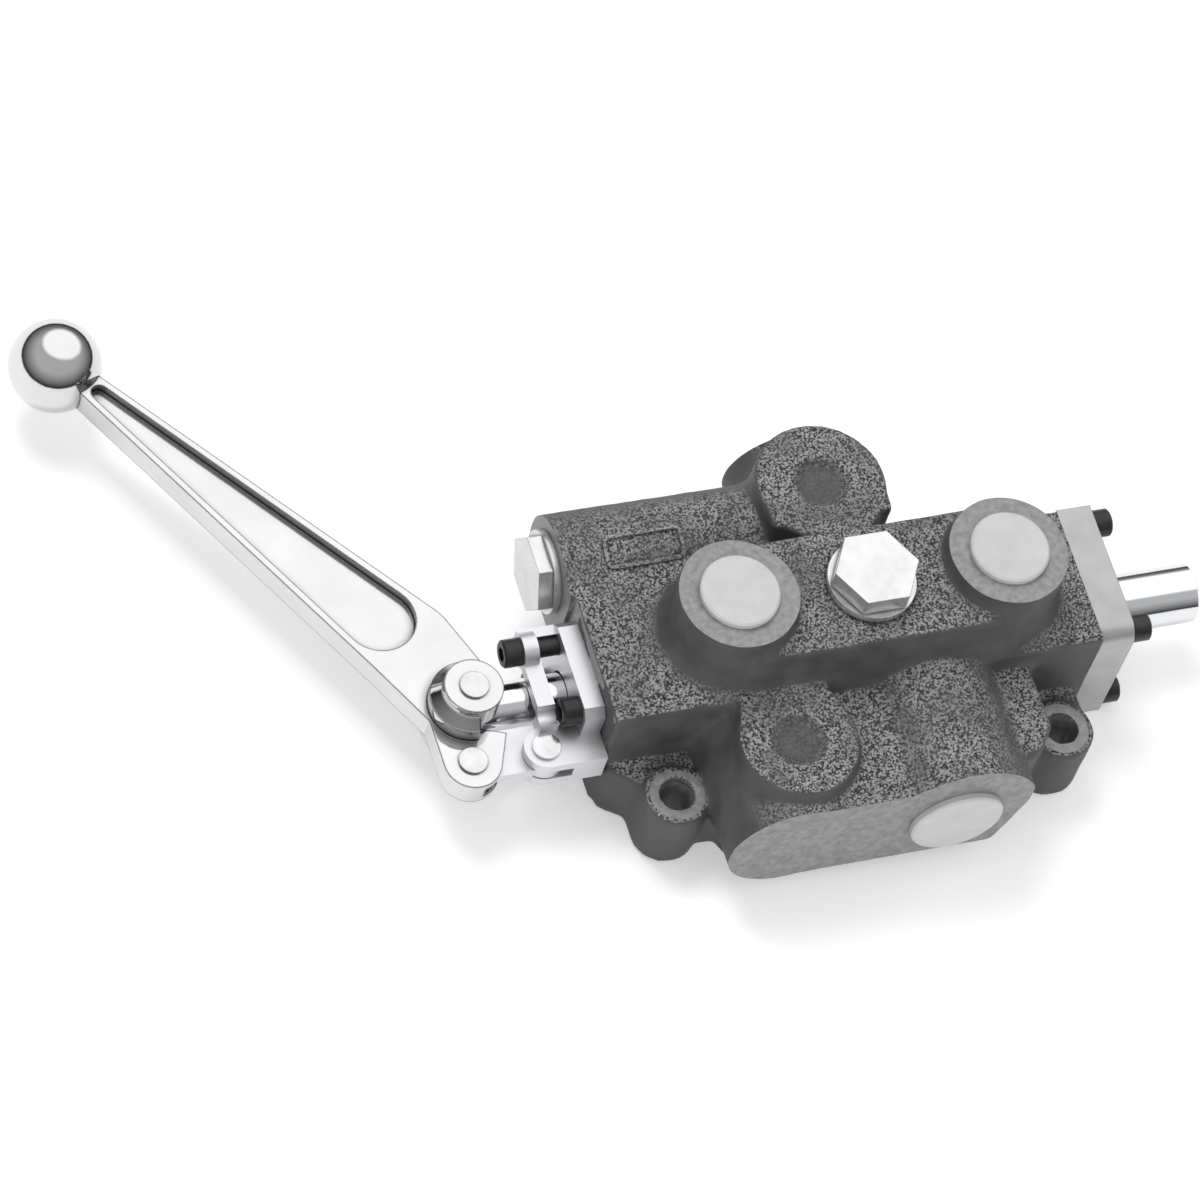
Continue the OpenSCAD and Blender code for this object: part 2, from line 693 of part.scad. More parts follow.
module bracket_clip() color([0.2, 0.2, 0.2]) clip(anchor, spool_z - cheek_top - clip_t);

// Lever and link

module arm_end(at, r) translate(at) circle(r, $fn = HULL_FN);

module lever_outline() {
  root = along_arm(root_u);
  hull() {
    arm_end(root, arm_root_r);
    arm_end(along_arm(tip_u), arm_tip_r);
  }
  hull() {
    arm_end(root, arm_root_r);
    arm_end([0, 0], hub_r);
  }
  hull() {
    arm_end([0, 0], hub_r);
    arm_end(lower - pivot, lower_end_r);
  }
}

// The band that another bar sweeps as it turns about a pivot, cut towards +X
module swept_band(r, length) {
  edge = r - 0.06;
  start = [for (s = [-1, 1]) edge * [-sin(swing), s * cos(swing)]];
  reach = [for (s = [-1, 1]) length * [cos(swing), s * sin(swing)]];
  circle(r);
  polygon([start[0], start[0] + reach[0], start[1] + reach[1], start[1]]);
}

module lever() color([0.88, 0.88, 0.9]) translate([pivot[0], pivot[1], spool_z]) difference() {
  union() {
    translate([0, 0, -lever_t / 2]) linear_extrude(lever_t) lever_outline();
    rod_z(-hub_half, hub_half, hub_top_r);
    // Flared foot of the hub, on the side away from the spool
    difference() {
      union() for (s = [0, 1]) mirror([0, 0, s]) {
        rod_z(lever_t / 2 - 1, hub_foot_z, hub_foot_r);
        translate([0, 0, hub_foot_z - 0.1]) cylinder(r1 = hub_foot_r, r2 = hub_top_r - 0.6, h = 5);
      }
      translate([0, -hub_r - 1, -hub_half]) cube([hub_r + 1, 2 * hub_r + 2, 2 * hub_half]);
    }
    translate(concat(along_arm(lever_len), 0)) sphere(r = ball_r);
  }
  translate([0, 0, -rod_slot]) linear_extrude(2 * rod_slot) swept_band(rod_slot, 2 * hub_r + 4);
  translate([lower_dx, -lower_y, -slot_z]) linear_extrude(2 * slot_z) swept_band(link_end_r + link_room, link_len);
  rod_z(-hub_half - 1, hub_half + 1, pin_r + seat_fit);
  rod_z(-hub_half - 1, hub_half + 1, pin_r + seat_fit, lower_dx, -lower_y);
  for (s = [0, 1]) mirror([0, 0, s]) translate([0, 0, lever_t / 2 - recess_depth])
    linear_extrude(recess_depth + 1) hull() {
      arm_end(along_arm(recess_root_u), recess_root_r);
      arm_end(along_arm(recess_tip_u), recess_tip_r);
    }
}

module clevis_pin() color([0.8, 0.8, 0.82])
  headed_pin(pivot, spool_z - hub_half, spool_z + hub_half, pin_r + pin_head);

module link_pin() color([0.8, 0.8, 0.82])
  headed_pin(lower, spool_z - lever_t / 2, spool_z + lever_t / 2, pin_r + pin_head);

module lever_clips() color([0.2, 0.2, 0.2]) {
  clip(pivot, spool_z - hub_half - clip_t);
  clip(lower, spool_z - lever_t / 2 - clip_t);
}

module link() color([0.85, 0.86, 0.87]) translate([0, 0, spool_z - link_t / 2]) difference() {
  union() {
    translate([lower[0], lower[1], 0]) cylinder(r = link_end_r, h = link_t);
    translate([anchor[0], anchor[1], 0]) cylinder(r = fork_r - 0.3, h = link_t);
    translate([lower[0], lower[1] - link_half_w, 0]) cube([link_len, 2 * link_half_w, link_t]);
  }
  translate([lower[0], lower[1], -1]) cylinder(r = pin_r + open_pivot_fit, h = link_t + 2);
  translate([anchor[0], anchor[1], -1]) cylinder(r = pin_r + pin_fit, h = link_t + 2);
}

// Load check

module check_plug() color([0.9, 0.9, 0.91]) difference() {
  union() {
    rod_z(plug_low, saddle_top + touch, check_bore_r - seat_fit);
    rod_z(saddle_top, saddle_top + check_flange_h, check_flange_r);
    translate([0, 0, saddle_top + check_flange_h - touch]) hexagon(check_flats, check_hex_h + touch);
  }
  rod_z(plug_low - 1, poppet_top + 16 + check_lift + 1, poppet_stem_r + pin_fit);
}

module check_plug_seal() color([0.07, 0.07, 0.07])
  translate([0, 0, saddle_top - ring_pocket / 2]) ring(check_bore_r + ring_wire_r + 0.03, ring_wire_r);

module check_spring() color([0.6, 0.6, 0.62])
  translate([0, 0, poppet_top]) coil(5, 0.6, plug_low - poppet_top, 4);

module check_poppet() color([0.75, 0.75, 0.77]) {
  translate([0, 0, check_floor - 1.5]) cylinder(r1 = check_seat_r - 1.8, r2 = poppet_r, h = poppet_r - check_seat_r + 1.8);
  rod_z(check_floor + poppet_r - check_seat_r + 0.3 - touch, poppet_top, poppet_r);
  rod_z(poppet_top - touch, poppet_top + 16, poppet_stem_r);
}

// Relief valve

module relief_plug() color([0.9, 0.9, 0.91]) difference() {
  union() {
    rod_x(relief_left - touch, relief_left + relief_spigot, relief_bore_r - seat_fit, ridge_y, ridge_z);
    rod_x(relief_left - relief_flange_t, relief_left, relief_flats / 2 + 2.2, ridge_y, ridge_z);
    at_x(relief_left - relief_flange_t - relief_hex_len, ridge_y, ridge_z) rotate(30)
      hexagon(relief_flats, relief_hex_len + touch);
  }
  rod_x(relief_spring_floor, relief_left + relief_spigot + 1, relief_mean_r + relief_wire_r + 0.7, ridge_y, ridge_z);
}

module relief_plug_seal() color([0.07, 0.07, 0.07])
  at_x(relief_left + ring_pocket / 2, ridge_y, ridge_z) ring(relief_bore_r + ring_wire_r + 0.03, ring_wire_r);

module relief_spring() color([0.6, 0.6, 0.62])
  at_x(relief_spring_floor, ridge_y, ridge_z) 
    coil(relief_mean_r, relief_wire_r, relief_head_x - relief_spring_floor, 9);

module relief_poppet() color([0.75, 0.75, 0.77]) {
  cone_x(relief_face_x - 3, relief_face_x + 1.5, relief_throat_r + 2.5, relief_throat_r - 1.55, ridge_y, ridge_z);
  rod_x(relief_head_x, relief_face_x - 3 + touch, relief_throat_r + 3.6, ridge_y, ridge_z);
  rod_x(relief_head_x - 12, relief_head_x + touch, 2.8, ridge_y, ridge_z);
}

module relief_seat() color([0.7, 0.7, 0.72]) difference() {
  rod_x(relief_face_x, relief_seat_x, relief_bore_r - seat_fit, ridge_y, ridge_z);
  rod_x(relief_face_x - 1, relief_seat_x + 1, relief_throat_r, ridge_y, ridge_z);
}

// Shipping plugs: a cap along +Z with a hollow spigot that sits in the mouth's chamfer
module shipping_plug(cap_r, hole_r, chamfer) color([0.84, 0.84, 0.83]) difference() {
  union() {
    cylinder(r = cap_r, h = cap_h - 0.7);
    translate([0, 0, cap_h - 0.7 - touch]) cylinder(r1 = cap_r, r2 = cap_r - 0.7, h = 0.7 + touch);
    translate([0, 0, -chamfer + 0.4])
      cylinder(r1 = hole_r + 0.1, r2 = hole_r + chamfer_rise - 0.15, h = chamfer - 0.4 + touch);
  }
  translate([0, 0, -chamfer]) cylinder(r = hole_r - 1.5, h = chamfer + 1);
}

module work_plug(x) translate([x, 0, work_face_z]) shipping_plug(work_cap_r, work_hole_r, work_chamfer);
module work_plug_a() work_plug(-work_x);
module work_plug_b() work_plug(work_x);
module outlet_plug() translate([outlet_x, -outlet_y, main_z]) rotate([90, 0, 0])
  shipping_plug(main_cap_r, main_hole_r, main_chamfer);
module inlet_plug() translate([inlet_x, inlet_y, main_z]) rotate([-90, 0, 0])
  shipping_plug(main_cap_r, main_hole_r, main_chamfer);

valve_body();
end_plate();
end_plate_screws();
spring_cap();
spool_seal_left();
spool_seal_right();
rod_wiper();
handle_bracket();
bracket_screws();
bracket_long_screw();
bracket_pin();
bracket_clip();
check_plug();
check_plug_seal();
check_spring();
check_poppet();
relief_plug();
relief_plug_seal();
relief_spring();
relief_poppet();
relief_seat();
centring_spring_inner();
centring_spring_outer();
spool();
spring_collar();
collar_nut();
lever();
clevis_pin();
link_pin();
lever_clips();
link();
work_plug_a();
work_plug_b();
outlet_plug();
inlet_plug();
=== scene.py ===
"""Looks of a single spool directional control valve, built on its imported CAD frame.

The casting's skin is grown from the CAD body: its corners are filled as a sand casting's are, and the
machined faces and holes are then cut into it. Every other node keeps its CAD mesh and gets a finish.
Lengths are in metres, in the row frame: the spool lies along X at y = 0, and +Z leaves the work ports.
"""

import json
import logging
import math
from dataclasses import dataclass
from enum import Enum
from typing import Dict, List, Optional, Sequence, Tuple, Union

import bmesh
import bpy
import numpy as np
from mathutils import Matrix, Vector

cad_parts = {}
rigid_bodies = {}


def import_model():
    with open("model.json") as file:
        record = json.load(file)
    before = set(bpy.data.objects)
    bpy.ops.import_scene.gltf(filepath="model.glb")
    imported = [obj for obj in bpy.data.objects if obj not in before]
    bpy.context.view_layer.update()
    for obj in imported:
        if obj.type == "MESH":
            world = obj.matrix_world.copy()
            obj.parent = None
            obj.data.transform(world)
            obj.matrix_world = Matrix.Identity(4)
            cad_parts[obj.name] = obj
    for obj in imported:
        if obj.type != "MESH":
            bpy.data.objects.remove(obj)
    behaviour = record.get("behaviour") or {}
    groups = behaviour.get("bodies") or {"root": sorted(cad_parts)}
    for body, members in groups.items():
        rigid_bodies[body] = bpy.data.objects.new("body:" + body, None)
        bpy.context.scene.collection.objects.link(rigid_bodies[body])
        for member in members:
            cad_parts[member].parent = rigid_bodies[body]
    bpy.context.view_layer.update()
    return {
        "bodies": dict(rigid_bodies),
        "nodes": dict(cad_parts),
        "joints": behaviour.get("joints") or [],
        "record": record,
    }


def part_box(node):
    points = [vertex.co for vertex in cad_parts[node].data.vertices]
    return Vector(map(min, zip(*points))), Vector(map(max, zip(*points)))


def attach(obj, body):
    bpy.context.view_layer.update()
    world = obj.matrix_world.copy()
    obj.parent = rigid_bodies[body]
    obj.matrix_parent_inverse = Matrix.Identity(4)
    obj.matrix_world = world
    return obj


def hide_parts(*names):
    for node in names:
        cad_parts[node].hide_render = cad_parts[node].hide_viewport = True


log = logging.getLogger("spool_valve")

Vec3 = Tuple[float, float, float]
Rgb = Tuple[float, float, float]
Place = Union[Vec3, Vector]
Socket = bpy.types.NodeSocket
Value = Union[float, Rgb, Vec3, Socket]
MM = 0.001
WHITE = (1.0, 1.0, 1.0, 1.0)
# Finer layers of the mottling noise, and its values between which colour and roughness change
MOTTLE_DETAIL = 4.0
COLOUR_SPAN = (0.3, 0.7)
ROUGH_SPAN = (0.25, 0.75)
# Colours of the painted dark reflection along polished edges and of the painted shade in the inner corners
EDGE_REFLECTION_BLACK: Rgb = (0.01, 0.01, 0.01)
CORNER_SHADE_BLACK: Rgb = (0.012, 0.012, 0.012)
# Agreement of the softened and the plain normal, from the full painted reflection line to none
EDGE_REFLECTION_SPAN = (0.90, 0.992)
# Openness of a place, from the full painted shade to none
CORNER_SHADE_SPAN = (0.35, 0.85)
# Samples of the shader nodes that look round a point
NODE_SAMPLES = 6
# Z of the spool's axis, and Y and Z of the relief valve's
SPOOL_Z = 0.026
RELIEF_AXIS = (0.0406, 0.0375)
# X, Y and upper rim of the dimples in the two blank pads, and the radius of their smooth skin, painted
# darker as shade
DIMPLES = ((-0.035, -0.044, 0.054), (-0.001, 0.0444, 0.062))
DIMPLE_SKIN_R = 0.0078


class Slot(Enum):
    """The record's material slots."""

    CAST_IRON = "cast_iron"
    PLATE = "plate_aluminium"
    BRIGHT = "bright_steel"
    CHROME = "chrome"
    SATIN = "satin_steel"
    PIN = "pin_steel"
    SPRING = "spring_steel"
    PLATED = "plated_steel"
    BLACK = "black_steel"
    PLASTIC = "light_plastic"
    RUBBER = "rubber"


class Graph:
    """Short ways to lay out a shader's nodes.

    Args:
        tree: The node tree that is filled.
        coords: The vector that every texture reads.
    """

    def __init__(self, tree: bpy.types.NodeTree, coords: Optional[Socket] = None) -> None:
        """Keeps the tree and the texture vector."""
        self.tree = tree
        self.coords = coords

    def node(self, kind: str, **values: Value) -> bpy.types.Node:
        """Adds a node, and sets or links its inputs by name.

        Args:
            kind: The node's type without its leading ShaderNode.
            values: Inputs by name, with a _ for each space.

        Returns:
            The new node.
        """
        node = self.tree.nodes.new("ShaderNode" + kind)
        for name, value in values.items():
            self.set(node.inputs[name.replace("_", " ")], value)
        return node

    def set(self, socket: Socket, value: Value) -> None:
        """Sets a socket to a number or a colour, or links another socket to it.

        Args:
            socket: The input to set.
            value: A number, a colour, a vector or an output.
        """
        if isinstance(value, bpy.types.NodeSocket):
            self.tree.links.new(value, socket)
        else:
            socket.default_value = value

    def noise(self, size_mm: float, detail: float = 3.0, rough: float = 0.5) -> Socket:
        """Makes noise with blobs of about one size.

        Args:
            size_mm: Size of the blobs in millimetres.
            detail: Number of finer layers.
            rough: Strength of the finer layers.

        Returns:
            The noise, mostly from 0.3 to 0.7.
        """
        node = self.node("TexNoise", Scale=1.0 / (size_mm * MM), Detail=detail, Roughness=rough)
        self.set(node.inputs["Vector"], self.coords)
        return node.outputs["Fac"]

    def cells(self, size_mm: float, smooth: float = 0.35) -> Socket:
        """Makes round cells side by side.

        Args:
            size_mm: Size of the cells in millimetres.
            smooth: Smoothness of the borders between the cells.

        Returns:
            The distance from the middle of the nearest cell, 0 and up.
        """
        node = self.node("TexVoronoi", Scale=1.0 / (size_mm * MM))
        node.feature = "SMOOTH_F1"
        node.inputs["Smoothness"].default_value = smooth
        self.set(node.inputs["Vector"], self.coords)
        return node.outputs["Distance"]

    def spread(self, value: Value, low: float, high: float,
               to_low: float = 0.0, to_high: float = 1.0) -> Socket:
        """Maps one range of numbers to another, and clamps it.

        Args:
            value: The number to map.
            low: Start of its range.
            high: End of its range.
            to_low: What low becomes.
            to_high: What high becomes.

        Returns:
            The mapped number.
        """
        node = self.node("MapRange")
        numbers = {"From Min": low, "From Max": high, "To Min": to_low, "To Max": to_high}
        for name, number in numbers.items():
            node.inputs[name].default_value = number
        self.set(node.inputs["Value"], value)
        return node.outputs[0]

    def math(self, operation: str, a: Value, b: Value = 0.0) -> Socket:
        """Does one step of arithmetic.

        Args:
            operation: The Math node's operation.
            a: First number.
            b: Second number.

        Returns:
            The result.
        """
        node = self.node("Math")
        node.operation = operation
        self.set(node.inputs[0], a)
        self.set(node.inputs[1], b)
        return node.outputs[0]

    def vector(self, operation: str, a: Value, b: Optional[Value] = None) -> bpy.types.Node:
        """Does one step of vector arithmetic.

        Args:
            operation: The VectorMath node's operation.
            a: First vector.
            b: Second vector, if the operation has one.

        Returns:
            The node; its first output is a vector, and "Value" is a number.
        """
        node = self.node("VectorMath")
        node.operation = operation
        self.set(node.inputs[0], a)
        if b is not None:
            self.set(node.inputs[1], b)
        return node

    def mix(self, factor: Value, a: Value, b: Value) -> Socket:
        """Blends two colours.

        Args:
            factor: 0 for the first colour, 1 for the second.
            a: First colour.
            b: Second colour.

        Returns:
            The blend.
        """
        node = self.node("Mix")
        node.data_type = "RGBA"
        self.set(node.inputs[0], factor)
        # Inputs 6 and 7 and output 2 are the node's colours
        for socket, colour in ((node.inputs[6], a), (node.inputs[7], b)):
            self.set(socket, (*colour, 1.0) if isinstance(colour, tuple) else colour)
        return node.outputs[2]


@dataclass(frozen=True)
class Finish:
    """One surface finish, made from procedural nodes.

    Args:
        name: Name of the material.
        dark: Colour in the low places of the mottling.
        light: Colour in the high places.
        metallic: Metallic value of the surface.
        rough: Lowest and highest roughness.
        mottle_mm: Size of the mottling in millimetres.
        grain_mm: Size of the finest bumps in millimetres.
        bump_mm: Height of the finest bumps in millimetres.
        edge_mm: Radius of the softened edges in millimetres.
        stretch: Stretch of the grain along X, Y and Z; above 1 shortens it along that axis.
        corner_shade_mm: Reach of the painted shade in the inner corners, in millimetres; 0 leaves it out.
        edge_reflection: Darkness of the painted dark reflection, a thin line along the rounded edges, 0 to
            1.
    """

    name: str
    dark: Rgb
    light: Rgb
    metallic: float = 0.0
    rough: Tuple[float, float] = (0.4, 0.5)
    mottle_mm: float = 8.0
    grain_mm: float = 0.6
    bump_mm: float = 0.02
    edge_mm: float = 0.35
    stretch: Vec3 = (1.0, 1.0, 1.0)
    corner_shade_mm: float = 0.0
    edge_reflection: float = 0.0

    def material(self) -> bpy.types.Material:
        """Builds the material, or finds it if it is there already.

        Returns:
            The material.
        """
        found = bpy.data.materials.get(self.name)
        if found is not None:
            return found
        mat = bpy.data.materials.new(self.name)
        mat.use_nodes = True
        mat.node_tree.nodes.clear()
        graph = Graph(mat.node_tree)
        coords = graph.node("TexCoord")
        mapping = graph.node("Mapping", Scale=self.stretch, Vector=coords.outputs["Object"])
        graph.coords = mapping.outputs[0]
        out = graph.node("OutputMaterial")
        bsdf = graph.node("BsdfPrincipled", Metallic=self.metallic)
        graph.set(out.inputs["Surface"], bsdf.outputs[0])
        soft = graph.node("Bevel", Radius=self.edge_mm * MM)
        soft.samples = NODE_SAMPLES
        self.paint(graph, bsdf, soft.outputs[0])
        return mat

    def paint(self, graph: Graph, bsdf: bpy.types.Node, normal: Socket) -> None:
        """Sets the colour, the roughness and the bumps.

        Args:
            graph: The material's nodes.
            bsdf: The shader to set.
            normal: The softened normal.
        """
        mottle = graph.noise(self.mottle_mm, MOTTLE_DETAIL)
        colour = graph.mix(graph.spread(mottle, *COLOUR_SPAN), self.dark, self.light)
        colour = self.paint_edge_reflection(graph, colour, normal)
        graph.set(bsdf.inputs["Base Color"], self.paint_corner_shade(graph, colour))
        graph.set(bsdf.inputs["Roughness"], graph.spread(mottle, *ROUGH_SPAN, *self.rough))
        grain = graph.noise(self.grain_mm)
        bump = graph.node("Bump", Distance=self.bump_mm * MM, Height=grain, Normal=normal)
        graph.set(bsdf.inputs["Normal"], bump.outputs[0])

    def paint_edge_reflection(self, graph: Graph, colour: Value, normal: Socket) -> Value:
        """Paints a dark reflection as a line where the softened normal leaves the face's own.

        Args:
            graph: The material's nodes.
            colour: The colour so far.
            normal: The softened normal.

        Returns:
            The colour with the painted reflection line.
        """
        if self.edge_reflection <= 0.0:
            return colour
        # Painted dark reflection: black where the softened edge normal turns away from the face's own
        turn = graph.vector("DOT_PRODUCT", normal, graph.node("NewGeometry").outputs["Normal"])
        line = graph.spread(turn.outputs["Value"], *EDGE_REFLECTION_SPAN, self.edge_reflection, 0.0)
        return graph.mix(line, colour, EDGE_REFLECTION_BLACK)

    def paint_corner_shade(self, graph: Graph, colour: Value) -> Value:
        """Paints shade into the inner corners.

        Args:
            graph: The material's nodes.
            colour: The colour so far.

        Returns:
            The colour with the painted shade.
        """
        if self.corner_shade_mm <= 0.0:
            return colour
        # Painted shade: the colour darkens where ambient occlusion finds an inner corner
        open_sky = graph.node("AmbientOcclusion", Distance=self.corner_shade_mm * MM)
        open_sky.samples = NODE_SAMPLES
        return graph.mix(graph.spread(open_sky.outputs["AO"], *CORNER_SHADE_SPAN), CORNER_SHADE_BLACK, colour)


@dataclass(frozen=True)
class CastFinish(Finish):
    """Sand cast iron: leathery grain on upward faces, whose lighter colour is painted top light; smoother
    and darker on the walls, the darker tone being painted shade.

    Args:
        crest: Colour of the grain's high places.
        pit: Colour of the pits between them.
        wear_and_highlight: Colour of the outer edges, lighter partly as rubbed wear and partly as a painted
            highlight.
        grain_range: Heights of the grain at which pit and crest are reached.
        pebble: Share of the pebbles in the grain's height.
        pebble_reach: Distance from a pebble's middle at which its height ends.
        fine: Share of the fine noise.
        fine_size: Size of the fine noise, as a share of grain_mm.
        fine_layers: Number and strength of the fine noise's finer layers.
        swell: Share of the slow swell.
        swell_size: Size of the swell, as a share of grain_mm.
        strength: How far the grain's colour covers the plain skin.
        upright: Upward parts of the normal between which the grain and its painted top light come in.
        patch_mm: Size of the coarser and smoother patches in millimetres.
        patch_range: Values of the patches' noise between which the grain comes in.
        patch_low: Strength of the grain in the smoother patches.
        wall_bump: Height of the bumps on the walls, as a share of the grain's.
        wear_and_highlight_edge: Pointiness between which an outer edge takes that colour.
        wear_and_highlight_break: Values of the fine noise that break up the wear and painted highlight.
        smooth: Upright discs with a smooth skin, painted darker as shade, as X, Y and radius.
        smooth_fade: Width of the discs' soft rim.
        smooth_left: Strength of the grain and its lighter colour inside the discs.
    """

    crest: Rgb = (0.43, 0.43, 0.435)
    pit: Rgb = (0.014, 0.014, 0.015)
    wear_and_highlight: Rgb = (0.42, 0.42, 0.42)
    grain_range: Tuple[float, float] = (0.70, 0.90)
    pebble: float = 0.32
    pebble_reach: float = 0.62
    fine: float = 1.15
    fine_size: float = 0.85
    fine_layers: Tuple[float, float] = (4.0, 0.65)
    swell: float = 0.3
    swell_size: float = 2.6
    strength: float = 0.9
    upright: Tuple[float, float] = (0.66, 0.985)
    patch_mm: float = 13.0
    patch_range: Tuple[float, float] = (0.33, 0.58)
    patch_low: float = 0.5
    wall_bump: float = 0.2
    wear_and_highlight_edge: Tuple[float, float] = (0.54, 0.64)
    wear_and_highlight_break: Tuple[float, float] = (0.42, 0.58)
    smooth: Tuple[Vec3, ...] = ()
    smooth_fade: float = 0.001
    smooth_left: float = 0.12

    def paint(self, graph: Graph, bsdf: bpy.types.Node, normal: Socket) -> None:
        """Sets the colour, the roughness and the bumps.

        Args:
            graph: The material's nodes.
            bsdf: The shader to set.
            normal: The softened normal.
        """
        shape = graph.node("NewGeometry")
        grain_and_top_light = self.grain_and_top_light_area(graph, shape)
        fine = graph.noise(self.grain_mm * self.fine_size, *self.fine_layers)
        grain = self.grain(graph, fine)
        mottle = graph.noise(self.mottle_mm, MOTTLE_DETAIL)
        skin = graph.mix(graph.spread(mottle, *COLOUR_SPAN), self.dark, self.light)
        leather = graph.mix(graph.spread(grain, *self.grain_range), self.pit, self.crest)
        # Painted top light and shade: the lighter grain colour covers upward faces only, so the walls stay
        # darker
        skin = graph.mix(graph.math("MULTIPLY", grain_and_top_light, self.strength), skin, leather)
        # Lighter outer edges: partly rubbed wear, partly a painted edge highlight
        edge = graph.math("MULTIPLY", graph.spread(shape.outputs["Pointiness"], *self.wear_and_highlight_edge),
                          graph.spread(fine, *self.wear_and_highlight_break))
        skin = graph.mix(edge, skin, self.wear_and_highlight)
        graph.set(bsdf.inputs["Base Color"], self.paint_corner_shade(graph, skin))
        graph.set(bsdf.inputs["Roughness"], graph.spread(mottle, *ROUGH_SPAN, *self.rough))
        depth = graph.spread(grain_and_top_light, 0.0, 1.0, self.bump_mm * self.wall_bump * MM, self.bump_mm * MM)
        bump = graph.node("Bump", Distance=depth, Height=grain, Normal=normal)
        graph.set(bsdf.inputs["Normal"], bump.outputs[0])

    def grain_and_top_light_area(self, graph: Graph, shape: bpy.types.Node) -> Socket:
        """Finds where the grain and its painted top light show: upward faces, in soft patches, outside the
        smooth discs.

        Args:
            graph: The material's nodes.
            shape: The Geometry node.

        Returns:
            1 where the grain and its painted top light show, 0 where the skin is smooth.
        """
        facing = graph.node("SeparateXYZ", Vector=shape.outputs["Normal"])
        up = graph.spread(facing.outputs["Z"], *self.upright)
        patches = graph.spread(graph.noise(self.patch_mm), *self.patch_range, self.patch_low, 1.0)
        return graph.math("MULTIPLY", graph.math("MULTIPLY", up, patches), self.rough_unshaded_area(graph))

    def grain(self, graph: Graph, fine: Socket) -> Socket:
        """Mixes the grain's height from pebbles, fine noise and a slow swell.

        Args:
            graph: The material's nodes.
            fine: The fine noise.

        Returns:
            The height, about 0.6 to 1.1.
        """
        pebble = graph.spread(graph.cells(self.grain_mm), 0.0, self.pebble_reach, 1.0, 0.0)
        swell = graph.noise(self.grain_mm * self.swell_size, detail=2.0)
        fine_swell = graph.math("ADD", graph.math("MULTIPLY", fine, self.fine),
                                graph.math("MULTIPLY", swell, self.swell))
        return graph.math("ADD", graph.math("MULTIPLY", pebble, self.pebble), fine_swell)

    def rough_unshaded_area(self, graph: Graph) -> Value:
        """Leaves the smooth discs, painted darker as shade, out of the grain and its lighter colour.

        Args:
            graph: The material's nodes.

        Returns:
            A low number inside the discs and 1 outside them.
        """
        area = 1.0
        # Painted shade in the dimples: inside each disc the lighter grain colour drops out
        for x, y, radius in self.smooth:
            away = graph.vector("SUBTRACT", graph.coords, (x, y, 0.0))
            flat = graph.vector("MULTIPLY", away.outputs[0], (1.0, 1.0, 0.0))
            reach = graph.vector("LENGTH", flat.outputs[0])
            disc = graph.spread(reach.outputs["Value"], radius - self.smooth_fade, radius, self.smooth_left)
            area = graph.math("MULTIPLY", area, disc)
        return area


CAST = CastFinish(
    "cast_iron_skin", dark=(0.058, 0.058, 0.060), light=(0.098, 0.098, 0.100), metallic=0.1,
    rough=(0.5, 0.75), mottle_mm=10.0, grain_mm=0.95, bump_mm=0.45, edge_mm=0.5, corner_shade_mm=2.0,
    smooth=tuple((x, y, DIMPLE_SKIN_R) for x, y, _ in DIMPLES))
MACHINED = Finish(
    "machined_iron", dark=(0.20, 0.20, 0.202), light=(0.34, 0.34, 0.342), metallic=0.45,
    rough=(0.38, 0.55), mottle_mm=2.4, grain_mm=0.7, bump_mm=0.08, edge_mm=0.3)
PLATE = Finish(
    "ground_aluminium", dark=(0.38, 0.38, 0.385), light=(0.47, 0.47, 0.475), metallic=0.6,
    rough=(0.34, 0.46), mottle_mm=9.0, grain_mm=0.35, bump_mm=0.02, edge_mm=0.4)
BRIGHT = Finish(
    "bright_steel", dark=(0.54, 0.54, 0.55), light=(0.68, 0.68, 0.69), metallic=1.0,
    rough=(0.22, 0.32), mottle_mm=9.0, grain_mm=0.4, bump_mm=0.006, edge_mm=0.4, edge_reflection=0.8)
CHROME = Finish(
    "chrome_plate", dark=(0.59, 0.59, 0.60), light=(0.65, 0.65, 0.66), metallic=1.0,
    rough=(0.03, 0.07), mottle_mm=20.0, grain_mm=3.5, bump_mm=0.02, edge_mm=1.0, corner_shade_mm=4.5,
    edge_reflection=1.0)
SATIN = Finish(
    "satin_steel", dark=(0.44, 0.44, 0.45), light=(0.56, 0.56, 0.57), metallic=1.0,
    rough=(0.14, 0.22), mottle_mm=8.0, grain_mm=0.5, bump_mm=0.01, edge_mm=0.5, corner_shade_mm=2.0,
    edge_reflection=0.85)
PIN = Finish(
    "ground_pin", dark=(0.54, 0.54, 0.55), light=(0.66, 0.66, 0.67), metallic=1.0,
    rough=(0.10, 0.16), mottle_mm=5.0, grain_mm=0.3, bump_mm=0.005, edge_mm=0.35)
SPRING = Finish(
    "spring_wire", dark=(0.34, 0.34, 0.35), light=(0.46, 0.46, 0.47), metallic=1.0,
    rough=(0.25, 0.35), mottle_mm=4.0, grain_mm=0.3, bump_mm=0.004, edge_mm=0.1)
PLATED = Finish(
    "zinc_plate", dark=(0.60, 0.60, 0.60), light=(0.72, 0.72, 0.72), metallic=0.8,
    rough=(0.20, 0.30), mottle_mm=7.0, grain_mm=0.4, bump_mm=0.012, edge_mm=0.4, corner_shade_mm=1.5,
    edge_reflection=0.6)
BLACK = Finish(
    "black_oxide", dark=(0.012, 0.012, 0.013), light=(0.03, 0.03, 0.032), metallic=0.3,
    rough=(0.3, 0.42), mottle_mm=4.0, grain_mm=0.3, bump_mm=0.01, edge_mm=0.3)
PLASTIC = Finish(
    "grey_plastic", dark=(0.54, 0.54, 0.535), light=(0.62, 0.62, 0.615), metallic=0.0,
    rough=(0.42, 0.52), mottle_mm=10.0, grain_mm=0.5, bump_mm=0.01, edge_mm=0.35)
